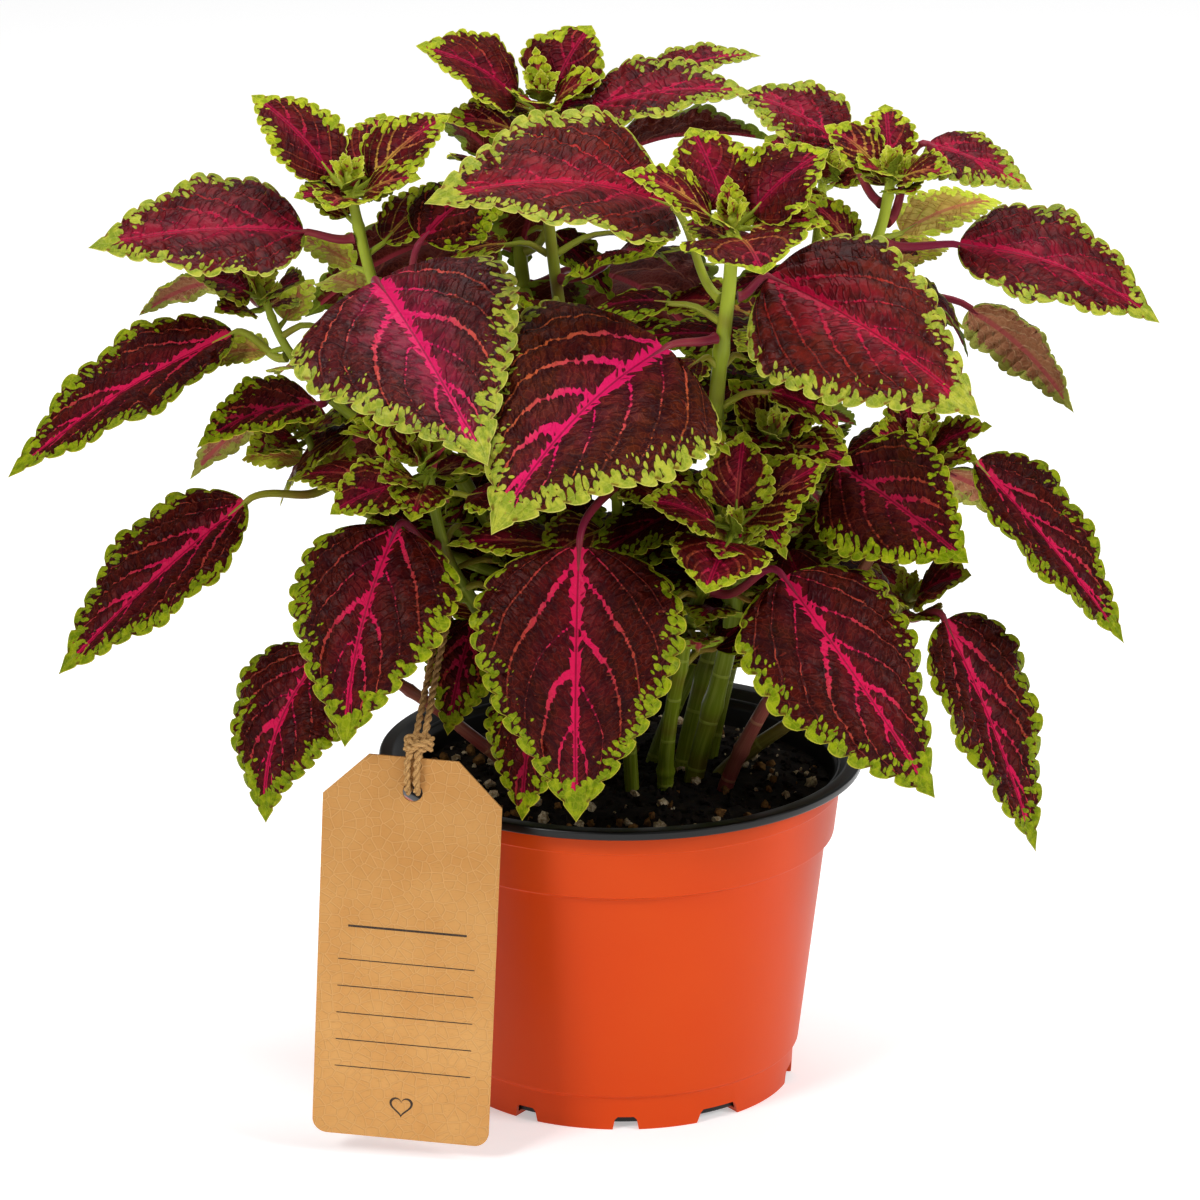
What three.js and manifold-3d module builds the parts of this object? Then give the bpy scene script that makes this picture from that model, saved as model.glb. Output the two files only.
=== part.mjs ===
// A coleus in its pot: a tapered outer pot, the black nursery pot hung in it by its lip, the soil, leafy stems
// that stand in holes in the soil, large leaves on petioles, and a care tag tied to a side twig with twine.
// Millimetres, +Z up. The origin is the centre of the pot's flat underside; the plant's front looks along -Y.
import * as THREE from "three";
import { mergeVertices } from "three/addons/utils/BufferGeometryUtils.js";
import Module from "manifold-3d";

const wasm = await Module();
wasm.setup();

// ---- Driving dimensions ----
const SEAT = 0.3; // the play between pieces that rest on each other
const TURN_STEPS = 36; // facets round the pots
const SOIL_STEPS = 18; // and round the soil

const POT_HEIGHT = 112.4; // the outer pot, up to the rim that carries the liner's lip
const WALL = 1.3;
// The outer pot's outside as [radius, height]: foot, step, tapered body, ledge, collar.
const POT_OUTSIDE = [
  [59.4, 0],
  [60, 11.7],
  [61.6, 13],
  [70.6, 87.7],
  [73.3, 89],
  [75.2, 105],
  [75.8, 105.4],
  [76, POT_HEIGHT],
];
const POT_FLOOR = 1.6;
// Drain notches in the foot as [degrees from the front towards the right, width in degrees].
const NOTCHES = [
  [1.5, 9],
  [34, 17],
  [78, 12],
  [112, 9],
  [147, 17],
  [181, 9],
  [214, 9],
  [248, 12],
  [282, 12],
  [327, 9],
];
const NOTCH_HEIGHT = 4.8;
const NOTCH_TAPER = 0.8; // a notch's width at its top, over its width at the floor
const NOTCH_REACH = 50; // the radius from which a notch runs outwards

const LIP_RADIUS = 83;
const LIP_TOP = 116;
const LIP_UNDERSIDE = 112.8;
const LIP_INNER = 78;
const LIP_EDGE = 0.6; // how far its outer edge is broken
const LIP_SLOPE = 5.5; // the fall from the lip's flat to the liner's wall
const LINER_WALL = 1.2;
const LINER_FLOOR = 2;
// The inner pot's outside below the lip as [radius, height], clear of the outer pot's inside.
const LINER_OUTSIDE = [
  [57.6, 2.1],
  [58.2, 11.5],
  [59.7, 13.5],
  [68.7, 87.7],
  [73.4, 105],
  [74.3, 110],
];
const DRAIN_HOLES = 5;
const DRAIN_RADIUS = 4;
const DRAIN_CIRCLE = 38;

const SOIL_EDGE = 104.5; // the soil's height at the liner's wall
const SOIL_CROWN = 108; // and at its middle
const SOIL_RINGS = [0.75, 0.4]; // shares of its radius where the crown bends
const STEM_DEPTH = 24; // how deep a stem stands in the soil

const STEM_SIDES = 6;
const NODE_SWELL = 1.12; // a stem's thickness at a node, over its own

const BLADE = 0.9; // leaf blade thickness
const BLADE_ENDS = [0.006, 0.985]; // shares of its length where a blade's first and last sections stand
const BLADE_TAPER = 1.05; // how the outline closes towards the tip
const SCALLOPS = [0.9, 1.04]; // a blade's half width in and out of its scallops, over the plain outline
const WIDE_LEAF = 45; // from this width a large leaf has one scallop more
const WIDE_SMALL_LEAF = 28; // and so has a small one
const PETIOLE = 1.5; // petiole radius at the stem
const PETIOLE_THINS = 0.3; // the share of that lost on the way to the blade
const PETIOLE_AT = [0, 0.3, 0.6, 0.92]; // shares of its length where its sections stand
const PETIOLE_SWEEP = 0.35; // how far it runs straight out of the stem and into the blade
const PETIOLE_SEAT = 0.45; // from a stem's skin to the middle of a petiole's foot
const SMALL_FACE = [0, -0.45, 0.9]; // the way the small leaves of the front look
const SMALL_LEAF = { blade: 0.8, stalk: 0.16, petiole: 0.8, arch: 0.1, fold: 0.12 };

const TAG_WIDTH = 60;
const TAG_HEIGHT = 136;
const TAG_THICKNESS = 0.8;
const TAG_CHAMFER = 15;
const TAG_CORNER = 5;
const TAG_HOLE = 3.4; // radius
const TAG_HOLE_DROP = 12; // from the top edge to the hole's centre
const TAG_AT = [-68.5, -85, 143]; // middle of the top edge
const TAG_YAW = 8; // degrees, right edge nearer the front
const TAG_ROLL = 2.5; // degrees, clockwise seen from the front
const TWINE = 1.25; // strand radius
const KNOT = [6, 3.6, 3.4]; // half its width, depth and height
const KNOT_AT = [1.5, 0, 5]; // from the middle of the tag's top edge
const STRANDS_APART = 1.5; // in the tag's hole, from its middle
const LEGS_APART = 3; // between the two legs of the loop, and of a turn where it ends in the knot
const LOOP_STEPS = 40;
const TURN_OF_TWINE_STEPS = 20; // on each turn through the tag

// ---- Colours ----
const finish = (color, roughness) =>
  new THREE.MeshStandardMaterial({ color, roughness, metalness: 0 });
const TERRACOTTA = finish(0xc8502b, 0.5);
const BLACK_PLASTIC = finish(0x1c1d1f, 0.4);
const POTTING_MIX = finish(0x221a15, 0.95);
const LEAF_MAROON = finish(0x6b1428, 0.55);
const SHOOT_GREEN = finish(0x7d9a35, 0.55);
const KRAFT = finish(0xc08a50, 0.9);
const JUTE = finish(0xa97b45, 0.9);

// ---- Leafy stems ----
// A shoot has its path from the soil to its crown, the radius at its foot and top, and rows of small leaves.
// A crown leaf is [dx, dy, dz, width]: its tip from the crown's centre. A side leaf is
// [height, dx, dy, dz, width]: its tip from the stem at that height. A branch is a path with its own leaves,
// rooted in the main stem.
const SHOOTS = {
  left: {
    path: [[-8, -8, 100], [-34, -12, 180], [-70, -16, 248], [-83, -18, 288], [-91, -18, 324]],
    radii: [3.6, 1.9],
    crown: [[-32, 16, 24, 27], [34, 12, 18, 25], [25, -10, 2, 18], [-6, -22, -6, 18], [12, 24, 16, 18]],
    side: [[306, -18, 10, 16, 17], [296, 30, 16, 20, 20]],
    branches: [
      {
        path: [[-58, -14, 222], [-92, -12, 240], [-112, -10, 262], [-121, -8, 283]],
        radii: [2.4, 1.4],
        crown: [[-22, -6, 6, 20], [16, -12, 6, 17], [-8, 16, 12, 18]],
        side: [],
      },
      {
        path: [[-34, -12, 180], [-72, -10, 196], [-98, -7, 214], [-108, -4, 235]],
        radii: [2.4, 1.4],
        crown: [[-18, -14, -7, 16], [14, -14, 4, 18]],
        side: [],
      },
    ],
  },
  top: {
    path: [[-4, 8, 100], [-12, 16, 200], [-25, 29, 300], [-27, 30, 342]],
    radii: [3.8, 1.7],
    crown: [[-42, -8, 17, 26], [17, 14, 19, 24], [20, -12, 7, 17], [-6, -16, 0, 15], [-2, 4, 14, 9]],
    side: [[324, -34, -14, 10, 22]],
    branches: [],
  },
  centre_right: {
    path: [[24, -4, 100], [38, -20, 176], [31, -45, 244], [35, -64, 300], [36, -72, 324]],
    radii: [4.4, 2.2],
    crown: [
      [-36, -6, 17, 20],
      [31, 8, 21, 31],
      [9, -32, -10, 40],
      [-14, 22, 25, 30],
      [30, -8, 0, 20],
      [-2, 2, 14, 9],
    ],
    side: [],
    branches: [
      {
        path: [[38, -20, 176], [48, -32, 214], [50, -48, 246]],
        radii: [2.6, 1.5],
        crown: [[24, -2, 20, 22], [26, -12, -9, 20], [-15, 4, 16, 18], [-10, -14, -2, 16]],
        side: [],
      },
    ],
  },
  right: {
    path: [[20, 8, 100], [42, 2, 190], [72, -8, 270], [86, -13, 304], [90, -14, 326]],
    radii: [4, 1.8],
    crown: [[-23, 6, 13, 20], [-12, -16, 4, 17], [19, -14, 2, 19], [-2, 24, 16, 18]],
    side: [[292, -22, 6, 22, 18], [280, 24, 20, 14, 24]],
    branches: [],
  },
  front_right: {
    path: [[15, -10, 100], [16, -17, 127], [25, -46, 184], [35, -72, 212], [37, -78, 221]],
    radii: [3.8, 1.8],
    crown: [[3, 8, 31, 23], [-31, -8, 12, 22], [30, 4, 21, 28], [-10, -26, -14, 32], [12, 2, 6, 13]],
    side: [],
    branches: [],
  },
  front_left: {
    path: [[-12, -16, 100], [-46, -35, 174], [-58, -45, 200], [-65, -54, 238]],
    radii: [3.8, 1.8],
    crown: [[-31, -12, -16, 26], [10, -14, 10, 16], [-4, -20, -16, 20], [-10, 14, 14, 18]],
    side: [],
    branches: [
      {
        path: [[-49, -37.6, 182], [-58, -43, 186], [-70, -46, 194]],
        radii: [1.7, 1.1],
        crown: [[-18, 4, 8, 18], [-8, 14, 6, 16]],
        side: [],
      },
    ],
  },
  front_centre: {
    path: [[4, -14, 100], [0, -32, 170], [-2, -48, 230], [-4, -50, 262]],
    radii: [3.4, 1.6],
    crown: [[-24, -8, 10, 22], [20, -2, 10, 20], [-10, 18, 14, 18]],
    side: [[212, -26, -14, -12, 26], [228, 28, -6, -4, 26]],
    branches: [],
  },
  right_low: {
    path: [[34, -11, 100], [52, -24, 146], [84, -30, 196], [101, -26, 236]],
    radii: [3.6, 1.6],
    crown: [[22, -12, 8, 18], [-18, -10, 6, 20], [-6, 14, 16, 18]],
    side: [],
    branches: [],
  },
  low_right: {
    path: [[31, 6, 100], [61, -4, 130], [88, -20, 160], [97, -26, 182]],
    radii: [3.4, 1.6],
    crown: [[20, -12, 10, 24], [-16, -12, 8, 20]],
    side: [],
    branches: [],
  },
  low_left: {
    path: [[-26, -14, 100], [-56, -24, 134], [-84, -34, 160], [-90, -36, 174]],
    radii: [3.2, 1.5],
    crown: [[16, -14, 2, 16], [-6, 18, 12, 18]],
    side: [],
    branches: [],
  },
  back_right: {
    path: [[30, 21, 100], [52, 32, 200], [66, 39, 280], [69, 41, 312]],
    radii: [3.8, 1.7],
    crown: [[24, -8, 8, 22], [-20, 12, 8, 22], [12, 24, 6, 22], [-8, -16, 12, 20]],
    side: [[240, 30, 12, 4, 26]],
    branches: [],
  },
};

// ---- Large leaves ----
// Each leaf hangs on a shoot at a height. Its blade runs from base to tip; arch is the midrib's rise over the
// straight line between them and bow its sideways swing, as shares of the length; face is the way the upper
// side looks; fold is how far the edges stand up (or droop, when negative), as a share of the half width.
const LEAVES = {
  front_centre: {
    on: "front_centre", at: 226, base: [-14, -78, 214], tip: [-15, -98, 125],
    width: 70, arch: 0.08, face: [-0.1, -1, 0.2], fold: -0.12,
  },
  front_left: {
    on: "front_left", at: 206, base: [-74, -64, 216], tip: [-91, -92, 149],
    width: 58, arch: 0.1, bow: 0.02, face: [-0.3, -0.9, 0.4], fold: -0.12,
  },
  front_right: {
    on: "front_right", at: 192, base: [53, -76, 203], tip: [103, -94, 132],
    width: 62, arch: 0.1, bow: 0.04, face: [0.4, -0.8, 0.5], fold: -0.12,
  },
  centre_great: {
    on: "centre_right", at: 280, base: [14, -76, 281], tip: [-42, -130, 234],
    width: 82, arch: 0.1, bow: 0.02, face: [-0.1, -0.6, 0.75], fold: -0.15,
  },
  upper_left_great: {
    on: "left", at: 276, base: [-80, -48, 295], tip: [-42, -117, 253],
    width: 78, arch: 0.1, face: [-0.15, -0.6, 0.75], fold: -0.1,
  },
  right_great: {
    on: "centre_right", at: 294, base: [48, -62, 301], tip: [116, -88, 261],
    width: 64, arch: 0.1, face: [0.1, -0.75, 0.65], fold: -0.12,
  },
  left_far_low: {
    on: "left", at: 214, base: [-126, -22, 212], tip: [-189, -38, 156],
    width: 52, arch: 0.03, face: [-0.5, -0.45, 0.7], fold: 0.12,
  },
  left_far_mid: {
    on: "left", at: 260, base: [-130, -5, 266], tip: [-206, -18, 219],
    width: 52, arch: 0.05, face: [-0.5, -0.35, 0.79], fold: 0.12,
  },
  left_upper: {
    on: "left", at: 303, base: [-105, -24, 306], tip: [-176, -34, 303],
    width: 54, arch: 0.06, face: [0, -0.4, 0.9], fold: 0.06,
  },
  left_low: {
    on: "low_left", at: 168, base: [-100, -44, 165], tip: [-119, -60, 111],
    width: 46, arch: 0.08, bow: 0.08, face: [-0.5, -0.8, 0.4], fold: -0.1,
  },
  left_mid: {
    on: "left", at: 246, base: [-102, -26, 247], tip: [-141, -40, 236],
    width: 36, arch: 0.12, face: [-0.2, -0.3, 0.9], fold: 0.15,
  },
  left_mid_under: {
    on: "left", at: 214, base: [-112, 10, 240], tip: [-147, 16, 208],
    width: 36, arch: 0.08, face: [-0.5, 0.5, 0.5], fold: -0.1,
  },
  left_under: {
    on: "left", at: 277, base: [-134, 8, 282], tip: [-163, 12, 267],
    width: 30, arch: 0.08, face: [-0.3, 0.5, 0.8], fold: -0.1,
  },
  right_far_up: {
    on: "right", at: 300, base: [112, -14, 299], tip: [179, -22, 274],
    width: 54, arch: 0.1, face: [0.3, -0.4, 0.87], fold: 0.1,
  },
  right_far_mid: {
    on: "right_low", at: 230, base: [118, -32, 229], tip: [168, -44, 169],
    width: 50, arch: 0.03, face: [0.7, -0.4, 0.6], fold: 0.15,
  },
  right_under: {
    on: "right_low", at: 206, base: [110, -12, 220], tip: [153, -8, 188],
    width: 34, arch: 0.06, face: [0.45, 0.6, 0.65], fold: -0.1,
  },
  right_low: {
    on: "low_right", at: 174, base: [108, -42, 177], tip: [139, -58, 100],
    width: 52, arch: 0.03, face: [0.75, -0.55, 0.4], fold: 0.12,
  },
  right_mid_back: {
    on: "back_right", at: 266, base: [119, 26, 266], tip: [154, 18, 231],
    width: 40, arch: 0.08, face: [0.5, 0.6, 0.6], fold: -0.1,
  },
  right_inner: {
    on: "centre_right", at: 236, base: [72, -50, 233], tip: [114, -72, 206],
    width: 50, arch: 0.08, face: [0, -0.8, 0.6], fold: -0.1,
  },
  right_top: {
    on: "right", at: 306, base: [102, -4, 331], tip: [136, -20, 319],
    width: 30, arch: 0.06, face: [0.2, -0.45, 0.9], fold: -0.1,
  },
  top_centre_great: {
    on: "centre_right", at: 292, base: [15, -50, 322], tip: [-64, -76, 329],
    width: 66, arch: 0.12, face: [0, -0.45, 0.9], fold: 0.16,
  },
  top_right_flat: {
    on: "top", at: 324, base: [-11, 20, 337], tip: [44, 12, 344],
    width: 42, arch: 0.08, face: [-0.1, -0.3, 0.95], fold: 0.08,
  },
  top_right_back: {
    on: "right", at: 312, base: [73, 8, 328], tip: [38, 22, 342],
    width: 36, arch: 0.1, face: [0.1, -0.4, 0.9], fold: 0.08,
  },
  top_far: {
    on: "top", at: 314, base: [10, 58, 338], tip: [48, 62, 345],
    width: 26, arch: 0.08, face: [0, -0.2, 1], fold: 0.08,
  },
  upper_left_back: {
    on: "left", at: 268, base: [-66, -26, 304], tip: [-34, -6, 320],
    width: 36, arch: 0.12, face: [-0.3, -0.5, 0.8], fold: -0.1,
  },
  lower_inner: {
    on: "front_left", at: 168, base: [-49, -46, 178], tip: [-58, -60, 142],
    width: 28, arch: 0.1, face: [-0.2, -0.9, 0.4], fold: -0.1,
  },
  front_behind: {
    on: "front_centre", at: 168, base: [-25, -62, 166], tip: [-33, -80, 119],
    width: 36, arch: 0.1, face: [-0.4, -0.85, 0.3], fold: -0.1,
  },
  inner_left: {
    on: "top", at: 254, base: [-30, 4, 272], tip: [-50, -34, 290],
    width: 42, arch: 0.08, face: [-0.1, -0.6, 0.8], fold: -0.08,
  },
  inner_centre: {
    on: "top", at: 276, base: [-4, 6, 288], tip: [10, -34, 300],
    width: 44, arch: 0.08, face: [0, -0.6, 0.8], fold: -0.08,
  },
};

// The back of the plant is the front's growth turned half round, a little smaller.
const BACK_TURN = 184; // degrees
const BACK_SPREAD = 0.9;
const BACK_RISE = 0.93; // of the height over the soil
const BACK_CROWN = 4; // small leaves in a crown there
const BACK_SHOOTS = ["centre_right", "front_right", "front_left"];
const BACK_LEAVES = [
  "front_left",
  "front_right",
  "centre_great",
  "right_great",
  "right_inner",
  "top_centre_great",
];

// ---- Geometry helpers ----
const V = (p) => new THREE.Vector3(...p);
const radians = (degrees) => THREE.MathUtils.degToRad(degrees);

/** A manifold-3d solid of a closed three.js geometry. */
function solid(geometry) {
  const bare = geometry.index ? geometry.toNonIndexed() : geometry.clone();
  bare.deleteAttribute("normal");
  bare.deleteAttribute("uv");
  const merged = mergeVertices(bare, 1e-4);
  return new wasm.Manifold(
    new wasm.Mesh({
      numProp: 3,
      vertProperties: merged.attributes.position.array,
      triVerts: new Uint32Array(merged.index.array),
    }),
  );
}

/** The solids joined in one. */
const join = (solids) => solids.reduce((whole, piece) => whole.add(piece));

/** A solid back as a geometry with flat shading. */
function geometryOf(body) {
  const mesh = body.getMesh();
  const geometry = new THREE.BufferGeometry();
  geometry.setAttribute("position", new THREE.BufferAttribute(mesh.vertProperties, 3));
  geometry.setIndex(new THREE.BufferAttribute(mesh.triVerts, 1));
  return geometry.toNonIndexed();
}

/** A body of revolution about Z from a [radius, height] profile that runs counterclockwise. */
function turned(profile, steps = TURN_STEPS) {
  const points = [...profile, profile[0]].map(([r, z]) => new THREE.Vector2(r, z));
  return new THREE.LatheGeometry(points, steps).rotateX(Math.PI / 2);
}

/** A closed geometry from rings of points, the first and the last capped. */
function loft(rings) {
  const sides = rings[0].length;
  const triangles = [];
  const quad = (a, b, c, d) => triangles.push(a, b, c, a, c, d);
  rings.slice(1).forEach((ring, i) => {
    for (let k = 0; k < sides; k += 1) {
      const next = (k + 1) % sides;
      quad(rings[i][k], rings[i][next], ring[next], ring[k]);
    }
  });
  const cap = (ring) => {
    for (let k = 1; k + 1 < sides; k += 1) triangles.push(ring[0], ring[k], ring[k + 1]);
  };
  cap([...rings[0]].reverse());
  cap(rings[rings.length - 1]);
  return new THREE.BufferGeometry().setFromPoints(triangles);
}

/** A tapered round bar through stations of {at, radius}, each section square to the line of the stations. */
function bar(stations, sides) {
  let across = new THREE.Vector3();
  const rings = stations.map(({ at, radius }, i) => {
    const before = stations[Math.max(i - 1, 0)].at;
    const after = stations[Math.min(i + 1, stations.length - 1)].at;
    const along = after.clone().sub(before).normalize();
    if (i === 0) across.crossVectors(along, Math.abs(along.z) < 0.9 ? V([0, 0, 1]) : V([1, 0, 0]));
    across = across.clone().addScaledVector(along, -across.dot(along)).normalize();
    const third = new THREE.Vector3().crossVectors(along, across);
    return Array.from({ length: sides }, (_, k) => {
      const angle = (2 * Math.PI * k) / sides;
      return at
        .clone()
        .addScaledVector(across, radius * Math.cos(angle))
        .addScaledVector(third, radius * Math.sin(angle));
    });
  });
  return loft(rings);
}

// ---- Pots and soil ----
const inset = (profile, by) => profile.map(([r, z]) => [r - by, z]);

/** The outer pot: wall, collar and flat floor, with the drain notches cut through the foot. */
function potShell() {
  const inside = inset(POT_OUTSIDE, WALL).filter(([, z]) => z > POT_FLOOR);
  const [[footRadius]] = POT_OUTSIDE;
  const cup = [[0, 0], ...POT_OUTSIDE, ...inside.reverse(), [footRadius - WALL, POT_FLOOR], [0, POT_FLOOR]];
  const notches = NOTCHES.map(([angle, width]) => {
    const half = footRadius * Math.tan(radians(width / 2));
    const top = half * NOTCH_TAPER;
    const outline = new THREE.Shape([
      new THREE.Vector2(-half, -1),
      new THREE.Vector2(half, -1),
      new THREE.Vector2(top, NOTCH_HEIGHT),
      new THREE.Vector2(-top, NOTCH_HEIGHT),
    ]);
    const cutter = new THREE.ExtrudeGeometry(outline, { depth: footRadius / 3, bevelEnabled: false });
    // The outline stands up, and the cutter runs outwards from NOTCH_REACH.
    cutter.rotateX(Math.PI / 2).translate(0, -NOTCH_REACH, 0).rotateZ(radians(angle));
    return solid(cutter);
  });
  return solid(turned(cup)).subtract(join(notches));
}

/** The black inner pot: it tapers down inside the outer pot and hangs on its lip. */
function potLiner() {
  const outer = LINER_OUTSIDE;
  const [footRadius, floor] = outer[0];
  const [throatRadius] = outer[outer.length - 1];
  const profile = [
    [0, floor],
    ...outer,
    [throatRadius, LIP_UNDERSIDE],
    [LIP_RADIUS - LIP_EDGE / 2, LIP_UNDERSIDE],
    [LIP_RADIUS, LIP_TOP - LIP_EDGE],
    [LIP_RADIUS - LIP_EDGE, LIP_TOP],
    [LIP_INNER, LIP_TOP],
    [throatRadius - LINER_WALL, LIP_TOP - LIP_SLOPE],
    ...inset(outer.slice(1, -1), LINER_WALL).reverse(),
    [footRadius - LINER_WALL, floor + LINER_FLOOR],
    [0, floor + LINER_FLOOR],
  ];
  const holes = Array.from({ length: DRAIN_HOLES }, (_, i) => {
    const hole = new THREE.CylinderGeometry(DRAIN_RADIUS, DRAIN_RADIUS, 3 * LINER_FLOOR, 10);
    hole.rotateX(Math.PI / 2).translate(DRAIN_CIRCLE, 0, floor).rotateZ((2 * Math.PI * i) / DRAIN_HOLES);
    return solid(hole);
  });
  return solid(turned(profile)).subtract(join(holes));
}

/** The soil, crowned in the middle, with a hole for each stem. */
function soil(stemHoles) {
  const [[footRadius, floor]] = LINER_OUTSIDE;
  const shoulders = LINER_OUTSIDE.slice(1, -1).filter(([, z]) => z < SOIL_EDGE);
  const wall = inset(shoulders, LINER_WALL + SEAT);
  const bottom = floor + LINER_FLOOR + SEAT;
  const [lower, upper] = LINER_OUTSIDE.slice(shoulders.length, shoulders.length + 2);
  const liner = THREE.MathUtils.mapLinear(SOIL_EDGE, lower[1], upper[1], lower[0], upper[0]);
  const edgeRadius = liner - LINER_WALL - SEAT;
  const crown = SOIL_RINGS.map((share) => {
    return [edgeRadius * share, SOIL_EDGE + (SOIL_CROWN - SOIL_EDGE) * (1 - share * share)];
  });
  const profile = [
    [0, bottom],
    [footRadius - LINER_WALL - SEAT, bottom],
    ...wall,
    [edgeRadius, SOIL_EDGE],
    ...crown,
    [0, SOIL_CROWN],
  ];
  return solid(turned(profile, SOIL_STEPS)).subtract(join(stemHoles));
}

// ---- Stems ----
/** A stem's centre line, and how thick it is along it. */
class Stem {
  constructor({ path, radii }) {
    this.curve = new THREE.CatmullRomCurve3(path.map(V), false, "centripetal");
    this.radii = radii;
    this.steps = 2 * path.length - 2;
  }

  /** The radius at share t of the length; every second station is a swollen node. */
  radiusAt(t) {
    const toNode = 1 - Math.abs(((t * this.steps) % 2) - 1);
    return THREE.MathUtils.lerp(...this.radii, t) * THREE.MathUtils.lerp(1, NODE_SWELL, toNode);
  }

  /** The share of the length at which the stem reaches a height. */
  shareAt(height) {
    let [low, high] = [0, 1];
    for (let i = 0; i < 30; i += 1) {
      const middle = (low + high) / 2;
      if (this.curve.getPoint(middle).z < height) low = middle;
      else high = middle;
    }
    return low;
  }

  /** Stations along the stem, all thickened by extra. */
  stations(extra = 0) {
    return Array.from({ length: this.steps + 1 }, (_, i) => {
      const t = i / this.steps;
      return { at: this.curve.getPoint(t), radius: this.radiusAt(t) + extra };
    });
  }
}

// ---- Leaf blades ----
// A petiole's section, in the order of a blade's: left, top, right, then back along the underside.
const PETIOLE_SECTION = [[-1, 0.2], [0, 1], [1, 0.2], [0.7, -0.7], [0, -1], [-0.7, -0.7]];

/** Half the width of a leaf at share u of its length, as a share of its widest half. */
function outlineAt(u) {
  const shape = (share) => Math.sqrt(share) * (1 - share) ** BLADE_TAPER;
  return shape(u) / shape(0.5 / (0.5 + BLADE_TAPER));
}

/** A leaf blade between base and tip: its midrib's arch and bow, and its scalloped edge. */
class Blade {
  constructor({ base, tip, width, arch, bow = 0, face, fold }) {
    this.base = V(base);
    this.chord = V(tip).sub(this.base);
    this.length = this.chord.length();
    const along = this.chord.clone().normalize();
    this.up = V(face).addScaledVector(along, -V(face).dot(along)).normalize();
    this.side = new THREE.Vector3().crossVectors(along, this.up);
    const rise = this.up.clone().multiplyScalar(arch * this.length);
    this.swing = rise.addScaledVector(this.side, bow * this.length);
    this.width = width;
    this.fold = fold;
  }

  midrib(u) {
    return this.base.clone().addScaledVector(this.chord, u).addScaledVector(this.swing, 4 * u * (1 - u));
  }

  tangent(u) {
    return this.chord.clone().addScaledVector(this.swing, 4 * (1 - 2 * u)).normalize();
  }

  normal(u) {
    return new THREE.Vector3().crossVectors(this.side, this.tangent(u)).normalize();
  }

  /** The blade's sections: left edge, midrib and right edge of the upper side, then back underneath. */
  rings(teeth, thickness) {
    const rows = 2 * teeth + 1;
    return Array.from({ length: rows }, (_, i) => {
      const u = THREE.MathUtils.lerp(...BLADE_ENDS, i / (rows - 1));
      const half = (this.width / 2) * outlineAt(u) * SCALLOPS[i % 2];
      const middle = this.midrib(u);
      const normal = this.normal(u);
      const across = new THREE.Vector3().crossVectors(this.tangent(u), normal);
      const edge = (sign) => {
        return middle.clone().addScaledVector(across, sign * half).addScaledVector(normal, this.fold * half);
      };
      const top = [edge(-1), middle, edge(1)];
      const bottom = top.map((point) => point.clone().addScaledVector(normal, -thickness));
      return [...top, ...bottom.reverse()];
    });
  }

  /** Six-point sections of the petiole through stations of {at, radius}, turned to run on into the blade's. */
  petioleRings(stations) {
    let across = this.side;
    return stations
      .map((station, i) => {
        const before = stations[Math.max(i - 1, 0)].at;
        const after = i + 1 < stations.length ? stations[i + 1].at : this.base;
        return { along: after.clone().sub(before).normalize(), ...station };
      })
      .reverse()
      .map(({ at, radius, along }) => {
        across = across.clone().addScaledVector(along, -across.dot(along)).normalize();
        const up = new THREE.Vector3().crossVectors(across, along);
        return PETIOLE_SECTION.map(([x, y]) => {
          return at.clone().addScaledVector(across, x * radius).addScaledVector(up, y * radius);
        });
      })
      .reverse();
  }
}

/** A leaf whose petiole leaves its root squarely and runs on into the blade, as one body. */
function leafOnPetiole(blade, root, away) {
  const reach = root.distanceTo(blade.base);
  const start = root.clone().addScaledVector(away, reach * PETIOLE_SWEEP);
  const approach = blade.base.clone().addScaledVector(blade.tangent(0), -reach * PETIOLE_SWEEP);
  const stalk = new THREE.CubicBezierCurve3(root, start, approach, blade.base);
  const stations = PETIOLE_AT.map((t) => {
    return { at: stalk.getPoint(t), radius: PETIOLE * (1 - PETIOLE_THINS * t) };
  });
  const teeth = blade.width < WIDE_LEAF ? 4 : 5;
  stations[0].along = away;
  return solid(loft([...blade.petioleRings(stations), ...blade.rings(teeth, BLADE)]));
}

/** A small leaf rooted inside a stem, to be fused with it. */
function smallLeaf(root, reach, width, face) {
  const offset = V(reach);
  const base = root.clone().addScaledVector(offset, SMALL_LEAF.stalk).toArray();
  const tip = root.clone().add(offset).toArray();
  const blade = new Blade({ base, tip, width, arch: SMALL_LEAF.arch, face, fold: SMALL_LEAF.fold });
  const stalk = blade.petioleRings([{ at: root, radius: SMALL_LEAF.petiole }]);
  return solid(loft([...stalk, ...blade.rings(width < WIDE_SMALL_LEAF ? 2 : 3, SMALL_LEAF.blade)]));
}

/** One leafy stem: stem, crown, side leaves and branches, grown as one. */
function growth({ face = SMALL_FACE, branches = [], ...shoot }) {
  const stem = new Stem(shoot);
  const pieces = [solid(bar(stem.stations(), STEM_SIDES))];
  const crownAt = stem.curve.getPoint(1).add(V([0, 0, -1]));
  for (const [dx, dy, dz, width] of shoot.crown) pieces.push(smallLeaf(crownAt, [dx, dy, dz], width, face));
  for (const [height, dx, dy, dz, width] of shoot.side) {
    pieces.push(smallLeaf(stem.curve.getPoint(stem.shareAt(height)), [dx, dy, dz], width, face));
  }
  for (const branch of branches) pieces.push(growth({ face, ...branch }));
  return join(pieces);
}

/** A shoot's own path carried straight down to where it stands in the soil. */
function planted(shoot) {
  const [[x, y, z]] = shoot.path;
  return { ...shoot, path: [[x, y, z - STEM_DEPTH], ...shoot.path] };
}

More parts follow.
